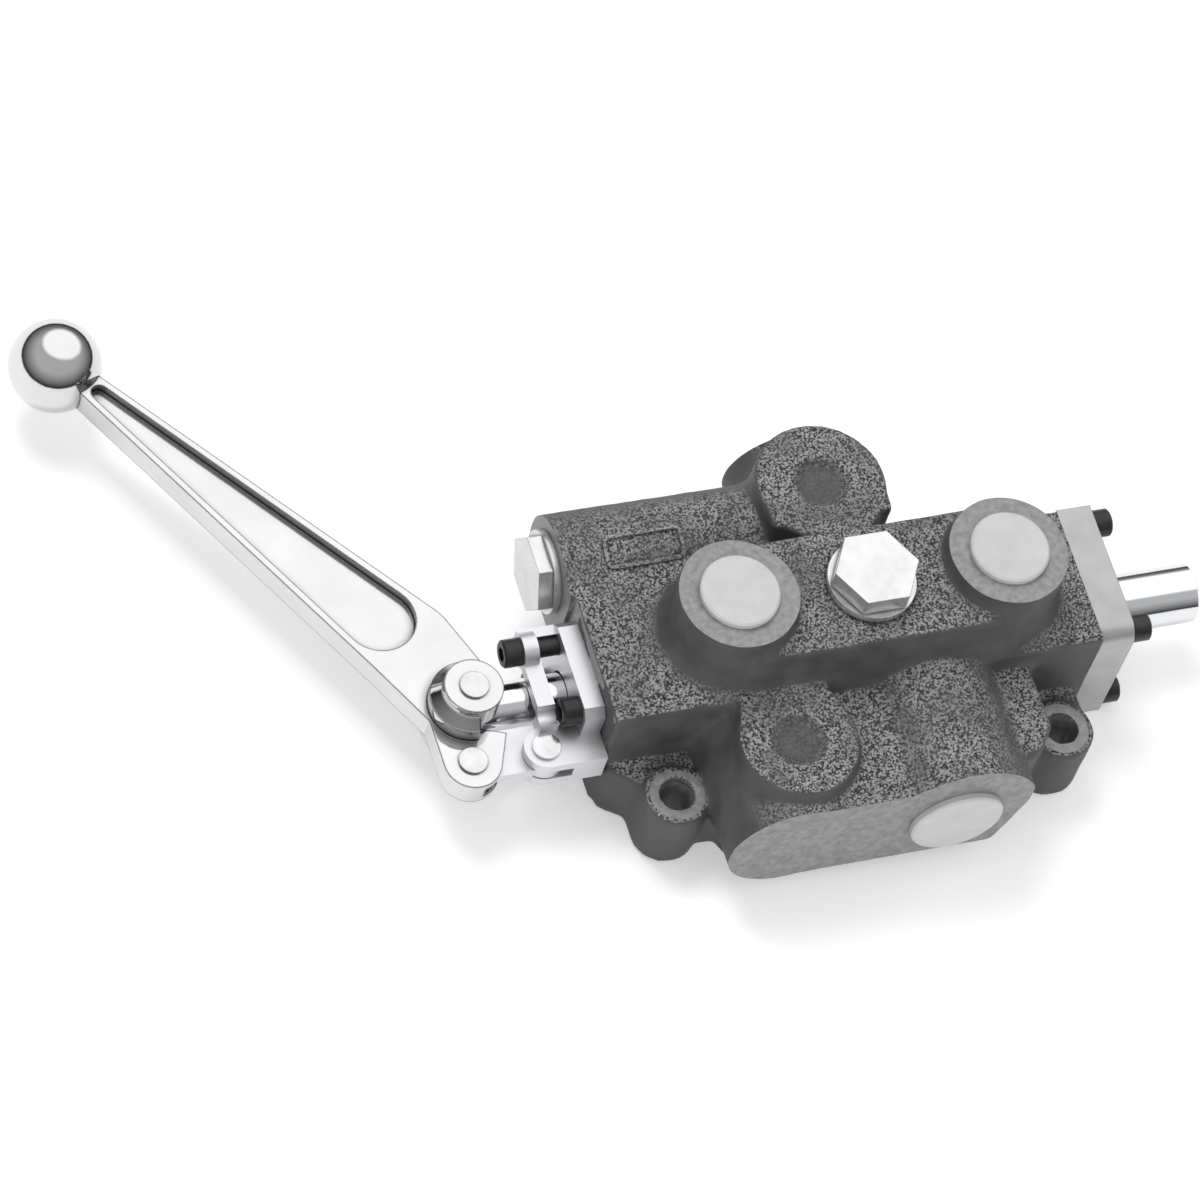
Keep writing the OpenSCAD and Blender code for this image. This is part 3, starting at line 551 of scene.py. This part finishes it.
RUBBER = Finish(
    "black_rubber", dark=(0.015, 0.015, 0.015), light=(0.03, 0.03, 0.03), metallic=0.0,
    rough=(0.55, 0.7), mottle_mm=4.0, grain_mm=0.3, bump_mm=0.02, edge_mm=0.2)

FINISHES: Dict[Slot, Finish] = {
    Slot.CAST_IRON: MACHINED,
    Slot.PLATE: PLATE,
    Slot.BRIGHT: BRIGHT,
    Slot.CHROME: CHROME,
    Slot.SATIN: SATIN,
    Slot.PIN: PIN,
    Slot.SPRING: SPRING,
    Slot.PLATED: PLATED,
    Slot.BLACK: BLACK,
    Slot.PLASTIC: PLASTIC,
    Slot.RUBBER: RUBBER,
}


@dataclass(frozen=True)
class Rod:
    """A round bar, used as stock or as a cutter.

    Args:
        start: Middle of the first end.
        end: Middle of the far end.
        radius: Radius at the start.
        end_radius: Radius at the end, if it tapers.
    """

    start: Place
    end: Place
    radius: float
    end_radius: Optional[float] = None

    def add_to(self, mesh: bmesh.types.BMesh, sides: int = 96) -> None:
        """Adds the bar to a bmesh as a closed shell.

        Args:
            mesh: The bmesh.
            sides: Number of flats round the bar.
        """
        a, b = Vector(self.start), Vector(self.end)
        axis = b - a
        turn = axis.to_track_quat("Z", "Y").to_matrix().to_4x4()
        place = Matrix.Translation((a + b) / 2) @ turn
        far = self.radius if self.end_radius is None else self.end_radius
        bmesh.ops.create_cone(mesh, cap_ends=True, segments=sides, radius1=self.radius, radius2=far,
                              depth=axis.length, matrix=place)


@dataclass(frozen=True)
class Block:
    """A rectangular block, used as stock or as a cutter.

    Args:
        low: Its lowest corner.
        high: Its highest corner.
    """

    low: Place
    high: Place

    def add_to(self, mesh: bmesh.types.BMesh) -> None:
        """Adds the block to a bmesh as a closed shell.

        Args:
            mesh: The bmesh.
        """
        low, high = Vector(self.low), Vector(self.high)
        size = Matrix.Diagonal((*(high - low), 1.0))
        bmesh.ops.create_cube(mesh, size=1.0, matrix=Matrix.Translation((low + high) / 2) @ size)


def new_object(name: str, mesh: bpy.types.Mesh) -> bpy.types.Object:
    """Links a new object to the scene.

    Args:
        name: Its name.
        mesh: Its mesh.

    Returns:
        The object.
    """
    obj = bpy.data.objects.new(name, mesh)
    bpy.context.scene.collection.objects.link(obj)
    return obj


def cutter(shape: Union[Rod, Block]) -> bpy.types.Object:
    """Makes a cutter that leaves machined faces.

    Args:
        shape: The bar or block that it cuts away.

    Returns:
        The cutter.
    """
    bm = bmesh.new()
    shape.add_to(bm)
    mesh = bpy.data.meshes.new("cutter")
    bm.to_mesh(mesh)
    bm.free()
    mesh.materials.append(MACHINED.material())
    return new_object("cutter", mesh)


def apply_modifiers(obj: bpy.types.Object) -> None:
    """Replaces an object's mesh by the one its modifiers make.

    Args:
        obj: The object.
    """
    graph = bpy.context.evaluated_depsgraph_get()
    made = bpy.data.meshes.new_from_object(obj.evaluated_get(graph))
    old = obj.data
    obj.modifiers.clear()
    obj.data = made
    bpy.data.meshes.remove(old)


def cut(obj: bpy.types.Object, tool: bpy.types.Object) -> None:
    """Cuts one object with another, and removes the cutter.

    Args:
        obj: The object that is cut; the cut faces take the cutter's material.
        tool: The cutter.
    """
    mod = obj.modifiers.new("bool", "BOOLEAN")
    mod.operation = "DIFFERENCE"
    mod.object = tool
    mod.solver = "MANIFOLD"
    mod.material_mode = "TRANSFER"
    apply_modifiers(obj)
    bpy.data.objects.remove(tool)


def crease(mesh: bpy.types.Mesh, degrees: float) -> None:
    """Shades a mesh smooth, apart from its sharp edges.

    Args:
        mesh: The mesh.
        degrees: Angle from which an edge is sharp.
    """
    bm = bmesh.new()
    bm.from_mesh(mesh)
    limit = math.radians(degrees)
    for face in bm.faces:
        face.smooth = True
    for edge in bm.edges:
        edge.smooth = len(edge.link_faces) == 2 and edge.calc_face_angle(0.0) < limit
    bm.to_mesh(mesh)
    bm.free()


def neighbours(mesh: bpy.types.Mesh) -> Tuple[np.ndarray, np.ndarray, np.ndarray]:
    """Lists the mesh's edges in both directions.

    Args:
        mesh: The mesh.

    Returns:
        Start and end vertex of each edge, and each vertex's number of neighbours.
    """
    pairs = np.zeros(len(mesh.edges) * 2, np.int32)
    mesh.edges.foreach_get("vertices", pairs)
    pairs = pairs.reshape(-1, 2)
    a = np.concatenate([pairs[:, 0], pairs[:, 1]])
    b = np.concatenate([pairs[:, 1], pairs[:, 0]])
    return a, b, np.bincount(a, minlength=len(mesh.vertices)).astype(float)


def read_points(mesh: bpy.types.Mesh) -> np.ndarray:
    """Reads the mesh's vertices.

    Args:
        mesh: The mesh.

    Returns:
        An N by 3 array.
    """
    co = np.zeros(len(mesh.vertices) * 3)
    mesh.vertices.foreach_get("co", co)
    return co.reshape(-1, 3)


def read_normals(mesh: bpy.types.Mesh) -> np.ndarray:
    """Reads the mesh's vertex normals.

    Args:
        mesh: The mesh.

    Returns:
        An N by 3 array.
    """
    normals = np.zeros(len(mesh.vertices) * 3)
    mesh.vertices.foreach_get("normal", normals)
    return normals.reshape(-1, 3)


def write_points(mesh: bpy.types.Mesh, co: np.ndarray) -> None:
    """Moves the mesh's vertices.

    Args:
        mesh: The mesh.
        co: Their new places, as an N by 3 array.
    """
    mesh.vertices.foreach_set("co", co.ravel())
    mesh.update()


# Share of the way to the neighbours' mean that one step takes, and the steps between fresh normals
FLOW_SHARE = 0.5
FRESH_NORMALS = 4


def flow(mesh: bpy.types.Mesh, steps: int, outward_only: bool,
         weight: Optional[np.ndarray] = None) -> None:
    """Moves vertices towards their neighbours' mean, so that corners fill or edges round.

    Args:
        mesh: The mesh, with even edge lengths.
        steps: Number of steps.
        outward_only: Only fills hollow corners, and leaves outer edges as they are.
        weight: Share of each step taken by each vertex.
    """
    a, b, count = neighbours(mesh)
    co = read_points(mesh)
    size = len(co)
    for step in range(steps):
        if outward_only and step % FRESH_NORMALS == 0:
            write_points(mesh, co)
            normals = read_normals(mesh)
        mean = np.stack([np.bincount(a, co[b, k], size) for k in range(3)], 1) / count[:, None]
        move = (mean - co) * FLOW_SHARE
        if outward_only:
            along = np.einsum("ij,ij->i", move, normals)
            move = normals * np.clip(along, 0.0, None)[:, None]
        if weight is not None:
            move *= weight[:, None]
        co += move
    write_points(mesh, co)


def voxel_remesh(obj: bpy.types.Object, voxel: float) -> None:
    """Makes one even skin round everything in the object's mesh.

    Args:
        obj: The object.
        voxel: Size of the voxels.
    """
    mod = obj.modifiers.new("remesh", "REMESH")
    mod.mode = "VOXEL"
    mod.voxel_size = voxel
    apply_modifiers(obj)


@dataclass
class CastingSkin:
    """The body casting's visible skin.

    Args:
        voxel: Size of the voxels that the raw casting is made from.
        fill_steps: Steps that fill the inner corners.
        soften_steps: Steps that round the outer edges.
        stock: Depth of iron that machining takes off each machined face.
        chamfer_rise: How far a port's sealing chamfer opens at its mouth.
        spot_r: Radius of the spot faces round the mounting holes.
        spot_z: Height of the spot faces above the back face.
        spot_top: Height at which their cutter ends.
        hole_top: Height at which the mounting holes' cutter ends.
        crease_deg: Angle from which an edge of the skin is shaded sharp.
        flange_x: Place of the machined left face, beside the relief housing.
        flange_y: Edge of that face towards the relief housing.
    """

    frame: dict
    voxel: float = 0.0009
    fill_steps: int = 60
    soften_steps: int = 6
    stock: float = 0.003
    chamfer_rise: float = 0.0014
    spot_r: float = 0.0093
    spot_z: float = 0.0268
    spot_top: float = 0.034
    hole_top: float = 0.06
    crease_deg: float = 35.0
    flange_x: float = -0.0918
    flange_y: float = 0.0215

    NODE = "valve_body"
    # Spool bore, its seal pocket, relief bore and load check bore, which end in the CAD's own parts
    BORES = (
        Rod((-0.1, 0.0, SPOOL_Z), (0.09, 0.0, SPOOL_Z), 0.00797),
        Rod((-0.1, 0.0, SPOOL_Z), (-0.0868, 0.0, SPOOL_Z), 0.01177),
        Rod((-0.1, *RELIEF_AXIS), (-0.0298, *RELIEF_AXIS), 0.010),
        Rod((0.0, 0.0, 0.046), (0.0, 0.0, 0.08), 0.0105),
    )
    # Radius and depth round a dimple in which the skin keeps its shape
    DIMPLE_REACH = 0.0105
    DIMPLE_DEPTH = 0.005
    # Wavelength and height of the skin's waviness, and the number of waves of each
    WAVES = ((0.030, 0.00025), (0.012, 0.00012), (0.005, 0.00006))
    WAVE_COUNT = 5
    WAVE_SEED = 7
    # Reach and thickness of the blocks that plane the faces
    FAR = 0.2
    THICK = 0.02
    # Welding distance, and how near in angle and place a face is to the box to be machined
    WELD = 1e-6
    FLAT_COSINE = 0.999
    FLAT_NEAR = 2e-5
    # How far the stock that fills a port goes in, out, and beyond its wall
    FILL_IN = 0.012
    FILL_OUT = 0.0135
    FILL_RIM = 0.002
    # How far the cutters overlap a port's bottom, pass a mouth, and pass a chamfer
    OVERLAP = 0.0004
    PAST_MOUTH = 0.002
    PAST_CHAMFER = 0.0002

    def build(self) -> bpy.types.Object:
        """Builds the skin and puts it in place of the CAD body.

        Returns:
            The skin.
        """
        skin = new_object("valve_body_skin", self.frame["nodes"][self.NODE].data.copy())
        skin.data.materials.clear()
        self.add_stock(skin)
        voxel_remesh(skin, self.voxel)
        flow(skin.data, self.fill_steps, outward_only=True, weight=self.fill_weight(skin.data))
        flow(skin.data, self.soften_steps, outward_only=False)
        self.weather(skin.data)
        skin.data.materials.append(CAST.material())
        for shape in (*self.planes(), *self.holes()):
            cut(skin, cutter(shape))
        crease(skin.data, self.crease_deg)
        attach(skin, "housing")
        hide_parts(self.NODE)
        return skin

    def fill_weight(self, mesh: bpy.types.Mesh) -> np.ndarray:
        """Keeps the dimples out of the filling of corners.

        Args:
            mesh: The raw casting.

        Returns:
            Each vertex's share, 0 in the dimples and 1 elsewhere.
        """
        co = read_points(mesh)
        weight = np.ones(len(co))
        for x, y, top in DIMPLES:
            reach = np.hypot(co[:, 0] - x, co[:, 1] - y)
            near = (reach < self.DIMPLE_REACH) & (co[:, 2] > top - self.DIMPLE_DEPTH)
            weight[near] = 0.0
        return weight

    def ports(self) -> List[dict]:
        """Lists the port mounts of the record."""
        return [m for m in self.frame["record"]["mounts"] if m["kind"] == "threaded_hole"]

    def box(self) -> Tuple[Vector, Vector]:
        """Gives the CAD body's box."""
        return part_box(self.NODE)

    def add_stock(self, skin: bpy.types.Object) -> None:
        """Fills the mouths, and raises each face that machining will bring back to size.

        Args:
            skin: The raw casting.
        """
        low, high = self.box()
        bm = bmesh.new()
        bm.from_mesh(skin.data)
        bmesh.ops.remove_doubles(bm, verts=bm.verts, dist=self.WELD)
        faces = [(Vector((0, 0, 1)), high.z), (Vector((0, -1, 0)), -low.y), (Vector((0, 1, 0)), high.y),
                 (Vector((-1, 0, 0)), -low.x), (Vector((1, 0, 0)), high.x)]
        for normal, reach in faces:
            flat = [f for f in bm.faces if f.normal.dot(normal) > self.FLAT_COSINE
                    and abs(f.calc_center_median().dot(normal) - reach) < self.FLAT_NEAR]
            made = bmesh.ops.extrude_face_region(bm, geom=flat)["geom"]
            verts = [v for v in made if isinstance(v, bmesh.types.BMVert)]
            bmesh.ops.translate(bm, verts=verts, vec=normal * self.stock)
        for port in self.ports():
            pos, axis, wall = Vector(port["pos_m"]), Vector(port["axis"]), port["dims"]["r_mm"] * MM
            stock = Rod(pos - axis * self.FILL_IN, pos + axis * self.FILL_OUT, wall + self.FILL_RIM)
            stock.add_to(bm)
        bm.to_mesh(skin.data)
        bm.free()

    def weather(self, mesh: bpy.types.Mesh) -> None:
        """Gives the cast skin a slight waviness.

        Args:
            mesh: The casting.
        """
        co, normals = read_points(mesh), read_normals(mesh)
        rng = np.random.default_rng(self.WAVE_SEED)
        wave = np.zeros(len(co))
        for size, height in self.WAVES:
            for _ in range(self.WAVE_COUNT):
                direction = rng.normal(size=3)
                direction *= 2 * math.pi / size / np.linalg.norm(direction)
                wave += height / self.WAVE_COUNT * np.sin(co @ direction + rng.uniform(0, 2 * math.pi))
        write_points(mesh, co + normals * wave[:, None])

    def planes(self) -> List[Block]:
        """Lists what machining takes off the raised faces.

        Returns:
            One block for each face, and one for the left face beside the relief housing.
        """
        low, high = self.box()
        far, thick = self.FAR, self.THICK
        return [
            Block((-far, -far, high.z), (far, far, high.z + thick)),
            Block((-far, low.y - thick, -far), (far, low.y, far)),
            Block((-far, high.y, -far), (far, high.y + thick, far)),
            Block((low.x - thick, -far, -far), (low.x, far, far)),
            Block((high.x, -far, -far), (high.x + thick, far, far)),
            Block((-far, -far, low.z - thick), (far, far, low.z)),
            Block((low.x - thick, -far, -far), (self.flange_x, self.flange_y, far)),
        ]

    def holes(self) -> List[Rod]:
        """Lists the bores, the ports with their chamfers, and the mounting holes with their spot faces.

        Returns:
            The cutters, in the order of cutting.
        """
        rods = list(self.BORES)
        for port in self.ports():
            pos, axis = Vector(port["pos_m"]), Vector(port["axis"])
            wall, half = port["dims"]["r_mm"] * MM, port["dims"]["length_mm"] * MM / 2
            mouth = self.mouth(pos, axis)
            rods.append(Rod(pos - axis * (half - self.OVERLAP), mouth + axis * self.PAST_MOUTH, wall))
            chamfer = (mouth - pos).length - half
            rods.append(Rod(pos + axis * half, mouth + axis * self.PAST_CHAMFER, wall,
                            wall + self.chamfer_rise * (1 + self.PAST_CHAMFER / chamfer)))
        for mount in self.frame["record"]["mounts"]:
            if mount["kind"] != "bolt_pattern":
                continue
            pos, spacing = Vector(mount["pos_m"]), mount["dims"]["spacing_x_mm"] * MM
            for side in (-1, 1):
                foot = pos + Vector((side * spacing / 2, 0, 0))
                rods.append(Rod(foot - Vector((0, 0, self.PAST_MOUTH)),
                                foot + Vector((0, 0, self.hole_top)), mount["dims"]["hole_r_mm"] * MM))
                rods.append(Rod(foot + Vector((0, 0, self.spot_z)), foot + Vector((0, 0, self.spot_top)),
                                self.spot_r))
        return rods

    def mouth(self, pos: Vector, axis: Vector) -> Vector:
        """Finds the middle of a port's mouth.

        Args:
            pos: The port's place.
            axis: The direction out of the port.

        Returns:
            The point on the body's outer face.
        """
        low, high = self.box()
        reach = max(high.dot(axis), low.dot(axis))
        return pos + axis * (reach - pos.dot(axis))


@dataclass
class FrameMotif:
    """The plain raised frame on the relief housing.

    Args:
        left: End of the frame towards the lever.
        right: End of the frame towards the pad.
        angles: Angles of its two long sides round the housing, from +Y, in degrees.
        width: Width of the raised line.
        height: Height of the raised line.
        sink: Depth to which the line reaches into the casting.
        flat: Share of the line's width that is flat on top.
        corner_r: Radius of the frame's corners, along its middle line.
        corner_steps: Points on each corner.
        axis: Y and Z of the housing's axis.
        radius: The housing's radius.
    """

    left: float = -0.0785
    right: float = -0.0520
    angles: Tuple[float, float] = (94.0, 125.0)
    width: float = 0.0017
    height: float = 0.0009
    sink: float = 0.0008
    flat: float = 0.7
    corner_r: float = 0.0022
    corner_steps: int = 6
    axis: Tuple[float, float] = RELIEF_AXIS
    radius: float = 0.0185

    def build(self) -> bpy.types.Object:
        """Builds the frame as one ring of four-sided sections.

        Returns:
            The frame.
        """
        bm = bmesh.new()
        section = ((-1.0, -self.sink), (-self.flat, self.height),
                   (self.flat, self.height), (1.0, -self.sink))
        rings = []
        for x, angle, out_x, out_a in self.path():
            ring = []
            for across, lift in section:
                half = across * self.width / 2
                spot = self.point(x + out_x * half, angle + out_a * half / self.radius, lift)
                ring.append(bm.verts.new(spot))
            rings.append(ring)
        for here, there in zip(rings, rings[1:] + rings[:1]):
            for k in range(len(section)):
                after = (k + 1) % len(section)
                bm.faces.new((here[k], there[k], there[after], here[after]))
        bmesh.ops.recalc_face_normals(bm, faces=bm.faces)
        mesh = bpy.data.meshes.new("frame_motif")
        bm.to_mesh(mesh)
        bm.free()
        mesh.materials.append(CAST.material())
        obj = new_object("frame_motif", mesh)
        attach(obj, "housing")
        return obj

    def point(self, x: float, angle: float, lift: float) -> Vec3:
        """Finds a point above the housing's round surface.

        Args:
            x: Place along the housing.
            angle: Angle round it, from +Y, in radians.
            lift: Height above the surface.

        Returns:
            The point.
        """
        reach = self.radius + lift
        return (x, self.axis[0] + reach * math.cos(angle), self.axis[1] + reach * math.sin(angle))

    def path(self) -> List[Tuple[float, float, float, float]]:
        """Lists points along the frame's middle line.

        Returns:
            X and angle of each point, and its outward direction along X and round the housing.
        """
        low, high = (math.radians(a) for a in self.angles)
        turn = self.corner_r / self.radius
        corners = [(self.right, high, 0), (self.left, high, 90),
                   (self.left, low, 180), (self.right, low, 270)]
        points = []
        for x, angle, start in corners:
            inner_x = x - math.copysign(self.corner_r, x - (self.left + self.right) / 2)
            inner_a = angle - math.copysign(turn, angle - (low + high) / 2)
            for step in range(self.corner_steps):
                t = math.radians(start + step * 90.0 / (self.corner_steps - 1))
                points.append((inner_x + self.corner_r * math.cos(t), inner_a + turn * math.sin(t),
                               math.cos(t), math.sin(t)))
        return points


@dataclass
class Hardware:
    """The nodes that keep their CAD mesh.
    """

    frame: dict

    def build(self) -> None:
        """Gives each CAD node the finish of its material slot."""
        slots = {part["node"]: Slot(part["material_slot"]) for part in self.frame["record"]["subparts"]}
        for name, obj in self.frame["nodes"].items():
            obj.data.materials.clear()
            obj.data.materials.append(FINISHES[slots[name]].material())


@dataclass(frozen=True)
class Lamp:
    """One square lamp that looks at the part.

    Args:
        name: Its name.
        place: Where it hangs.
        size: Length of its side.
        watts: Its power.
    """

    name: str
    place: Vec3
    size: float
    watts: float

    def build(self) -> None:
        """Hangs the lamp; polished metal doesn't show it."""
        data = bpy.data.lights.new(self.name, "AREA")
        data.size = self.size
        data.energy = self.watts
        obj = bpy.data.objects.new(self.name, data)
        obj.visible_glossy = False
        turn = Vector(self.place).to_track_quat("Z", "Y").to_matrix().to_4x4()
        obj.matrix_world = Matrix.Translation(self.place) @ turn
        bpy.context.scene.collection.objects.link(obj)


@dataclass
class Studio:
    """Floor, world, lamps and camera.

    Args:
        azimuth: Camera's azimuth in degrees, from -Y towards +X.
        elevation: Camera's elevation in degrees.
        roll: Camera's roll in degrees.
        distance: Distance from the origin's plane to the camera.
        focal_px: Focal length in pixels of a frame of frame_px.
        shift: Camera's offset along its own right and up axes.
        frame_px: Width of the photograph's frame in pixels.
        sensor_mm: Width of the camera's sensor.
        sight: How far the camera sees.
        floor_drop: Depth of the floor under the part.
        floor_half: Half the floor's width.
        paper: Brightness of the floor's paper.
        paper_glow: What the camera and reflections see on top of it, so that it is white.
        ambient: Brightness of the world that lights the part.
        box_way: Direction from the part to the large soft box that reflections show.
        box_span: Agreement with box_way at the box's outer edge and where it is full.
        box_light: Brightness of the soft box.
        room_span: Heights of a direction between which the room brightens.
        room_light: Brightness of the room at the lower and at the upper height.
    """

    azimuth: float = -34.6
    elevation: float = 57.147
    roll: float = 20.926
    distance: float = 2.25
    focal_px: float = 6707.0
    shift: Tuple[float, float] = (-0.0748, 0.02974)
    frame_px: float = 1200.0
    sensor_mm: float = 36.0
    sight: float = 20.0
    floor_drop: float = 0.0006
    floor_half: float = 4.0
    paper: float = 0.88
    paper_glow: float = 0.32
    ambient: float = 0.55
    box_way: Vec3 = (0.25, 0.36, 0.90)
    box_span: Tuple[float, float] = (0.66, 0.80)
    box_light: float = 1.5
    room_span: Tuple[float, float] = (0.03, 0.62)
    room_light: Tuple[float, float] = (0.03, 0.60)

    LAMPS = (
        Lamp("key", (-0.35, 0.75, 1.5), 0.7, 13.0),
        Lamp("fill", (1.1, -0.6, 1.3), 1.2, 3.0),
        Lamp("front", (-0.6, -1.5, 0.45), 1.0, 8.0),
    )

    def axes(self) -> Tuple[Vector, Vector, Vector]:
        """Works out the camera's directions.

        Returns:
            Its right, up and backward directions.
        """
        a, e, r = (math.radians(v) for v in (self.azimuth, self.elevation, self.roll))
        back = Vector((math.sin(a) * math.cos(e), -math.cos(a) * math.cos(e), math.sin(e)))
        right = Vector((math.cos(a), math.sin(a), 0.0))
        up = back.cross(right)
        return right * math.cos(r) + up * math.sin(r), up * math.cos(r) - right * math.sin(r), back

    def build(self) -> None:
        """Builds the studio."""
        self.camera()
        self.floor()
        self.world()
        for lamp in self.LAMPS:
            lamp.build()

    def camera(self) -> None:
        """Puts the camera at the photograph's viewing angle."""
        right, up, back = self.axes()
        data = bpy.data.cameras.new("camera")
        data.sensor_width = self.sensor_mm
        data.lens = self.sensor_mm * self.focal_px / self.frame_px
        data.clip_end = self.sight
        cam = bpy.data.objects.new("camera", data)
        bpy.context.scene.collection.objects.link(cam)
        place = back * self.distance + right * self.shift[0] + up * self.shift[1]
        turn = Matrix((right, up, back)).transposed()
        cam.matrix_world = Matrix.Translation(place) @ turn.to_4x4()
        bpy.context.scene.camera = cam

    def floor(self) -> None:
        """Lays the white paper just below the part; it keeps the part's soft shadow."""
        mat = bpy.data.materials.new("floor_paper")
        mat.use_nodes = True
        mat.node_tree.nodes.clear()
        graph = Graph(mat.node_tree)
        paper = graph.node("BsdfDiffuse", Color=(self.paper, self.paper, self.paper, 1.0))
        path = graph.node("LightPath")
        mirrored = graph.math("MAXIMUM", path.outputs["Is Glossy Ray"], path.outputs["Is Transmission Ray"])
        seen = graph.math("MAXIMUM", path.outputs["Is Camera Ray"], mirrored)
        glow = graph.node("Emission", Strength=graph.math("MULTIPLY", seen, self.paper_glow))
        both = graph.node("AddShader")
        graph.set(both.inputs[0], paper.outputs[0])
        graph.set(both.inputs[1], glow.outputs[0])
        out = graph.node("OutputMaterial")
        graph.set(out.inputs["Surface"], both.outputs[0])
        bm = bmesh.new()
        bmesh.ops.create_grid(bm, x_segments=2, y_segments=2, size=self.floor_half,
                              matrix=Matrix.Translation((0, 0, -self.floor_drop)))
        mesh = bpy.data.meshes.new("floor")
        bm.to_mesh(mesh)
        bm.free()
        mesh.materials.append(mat)
        new_object("floor", mesh)

    def world(self) -> None:
        """Lights the part evenly; reflections show one large soft box in a dim room."""
        world = bpy.data.worlds.new("studio")
        bpy.context.scene.world = world
        world.use_nodes = True
        world.node_tree.nodes.clear()
        graph = Graph(world.node_tree)
        coords = graph.node("TexCoord")
        towards = tuple(Vector(self.box_way).normalized())
        way = graph.vector("DOT_PRODUCT", coords.outputs["Generated"], towards)
        height = graph.node("SeparateXYZ", Vector=coords.outputs["Generated"]).outputs["Z"]
        room = graph.spread(height, *self.room_span, *self.room_light)
        box = graph.spread(way.outputs["Value"], *self.box_span, 0.0, self.box_light)
        seen = graph.math("MAXIMUM", room, box)
        path = graph.node("LightPath")
        shine = graph.node("Background", Strength=seen)
        ambient = graph.node("Background", Strength=self.ambient)
        plain = graph.node("Background", Strength=1.0)
        lit = graph.node("MixShader", Fac=path.outputs["Is Glossy Ray"])
        graph.set(lit.inputs[1], ambient.outputs[0])
        graph.set(lit.inputs[2], shine.outputs[0])
        shown = graph.node("MixShader", Fac=path.outputs["Is Camera Ray"])
        graph.set(shown.inputs[1], lit.outputs[0])
        graph.set(shown.inputs[2], plain.outputs[0])
        for source in (ambient, plain, shine):
            source.inputs["Color"].default_value = WHITE
        out = graph.node("OutputWorld")
        graph.set(out.inputs["Surface"], shown.outputs[0])


def main() -> None:
    """Builds the whole scene."""
    logging.basicConfig(level=logging.INFO)
    bpy.ops.wm.read_factory_settings(use_empty=True)
    bpy.context.scene.view_settings.view_transform = "Standard"
    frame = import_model()
    Hardware(frame).build()
    log.info("hardware: %d nodes", len(frame["nodes"]))
    for piece in (CastingSkin(frame).build(), FrameMotif().build()):
        log.info("%s: %d faces", piece.name, len(piece.data.polygons))
    Studio().build()
    log.info("studio: %d lamps", len(Studio.LAMPS))


if __name__ == "__main__":
    main()
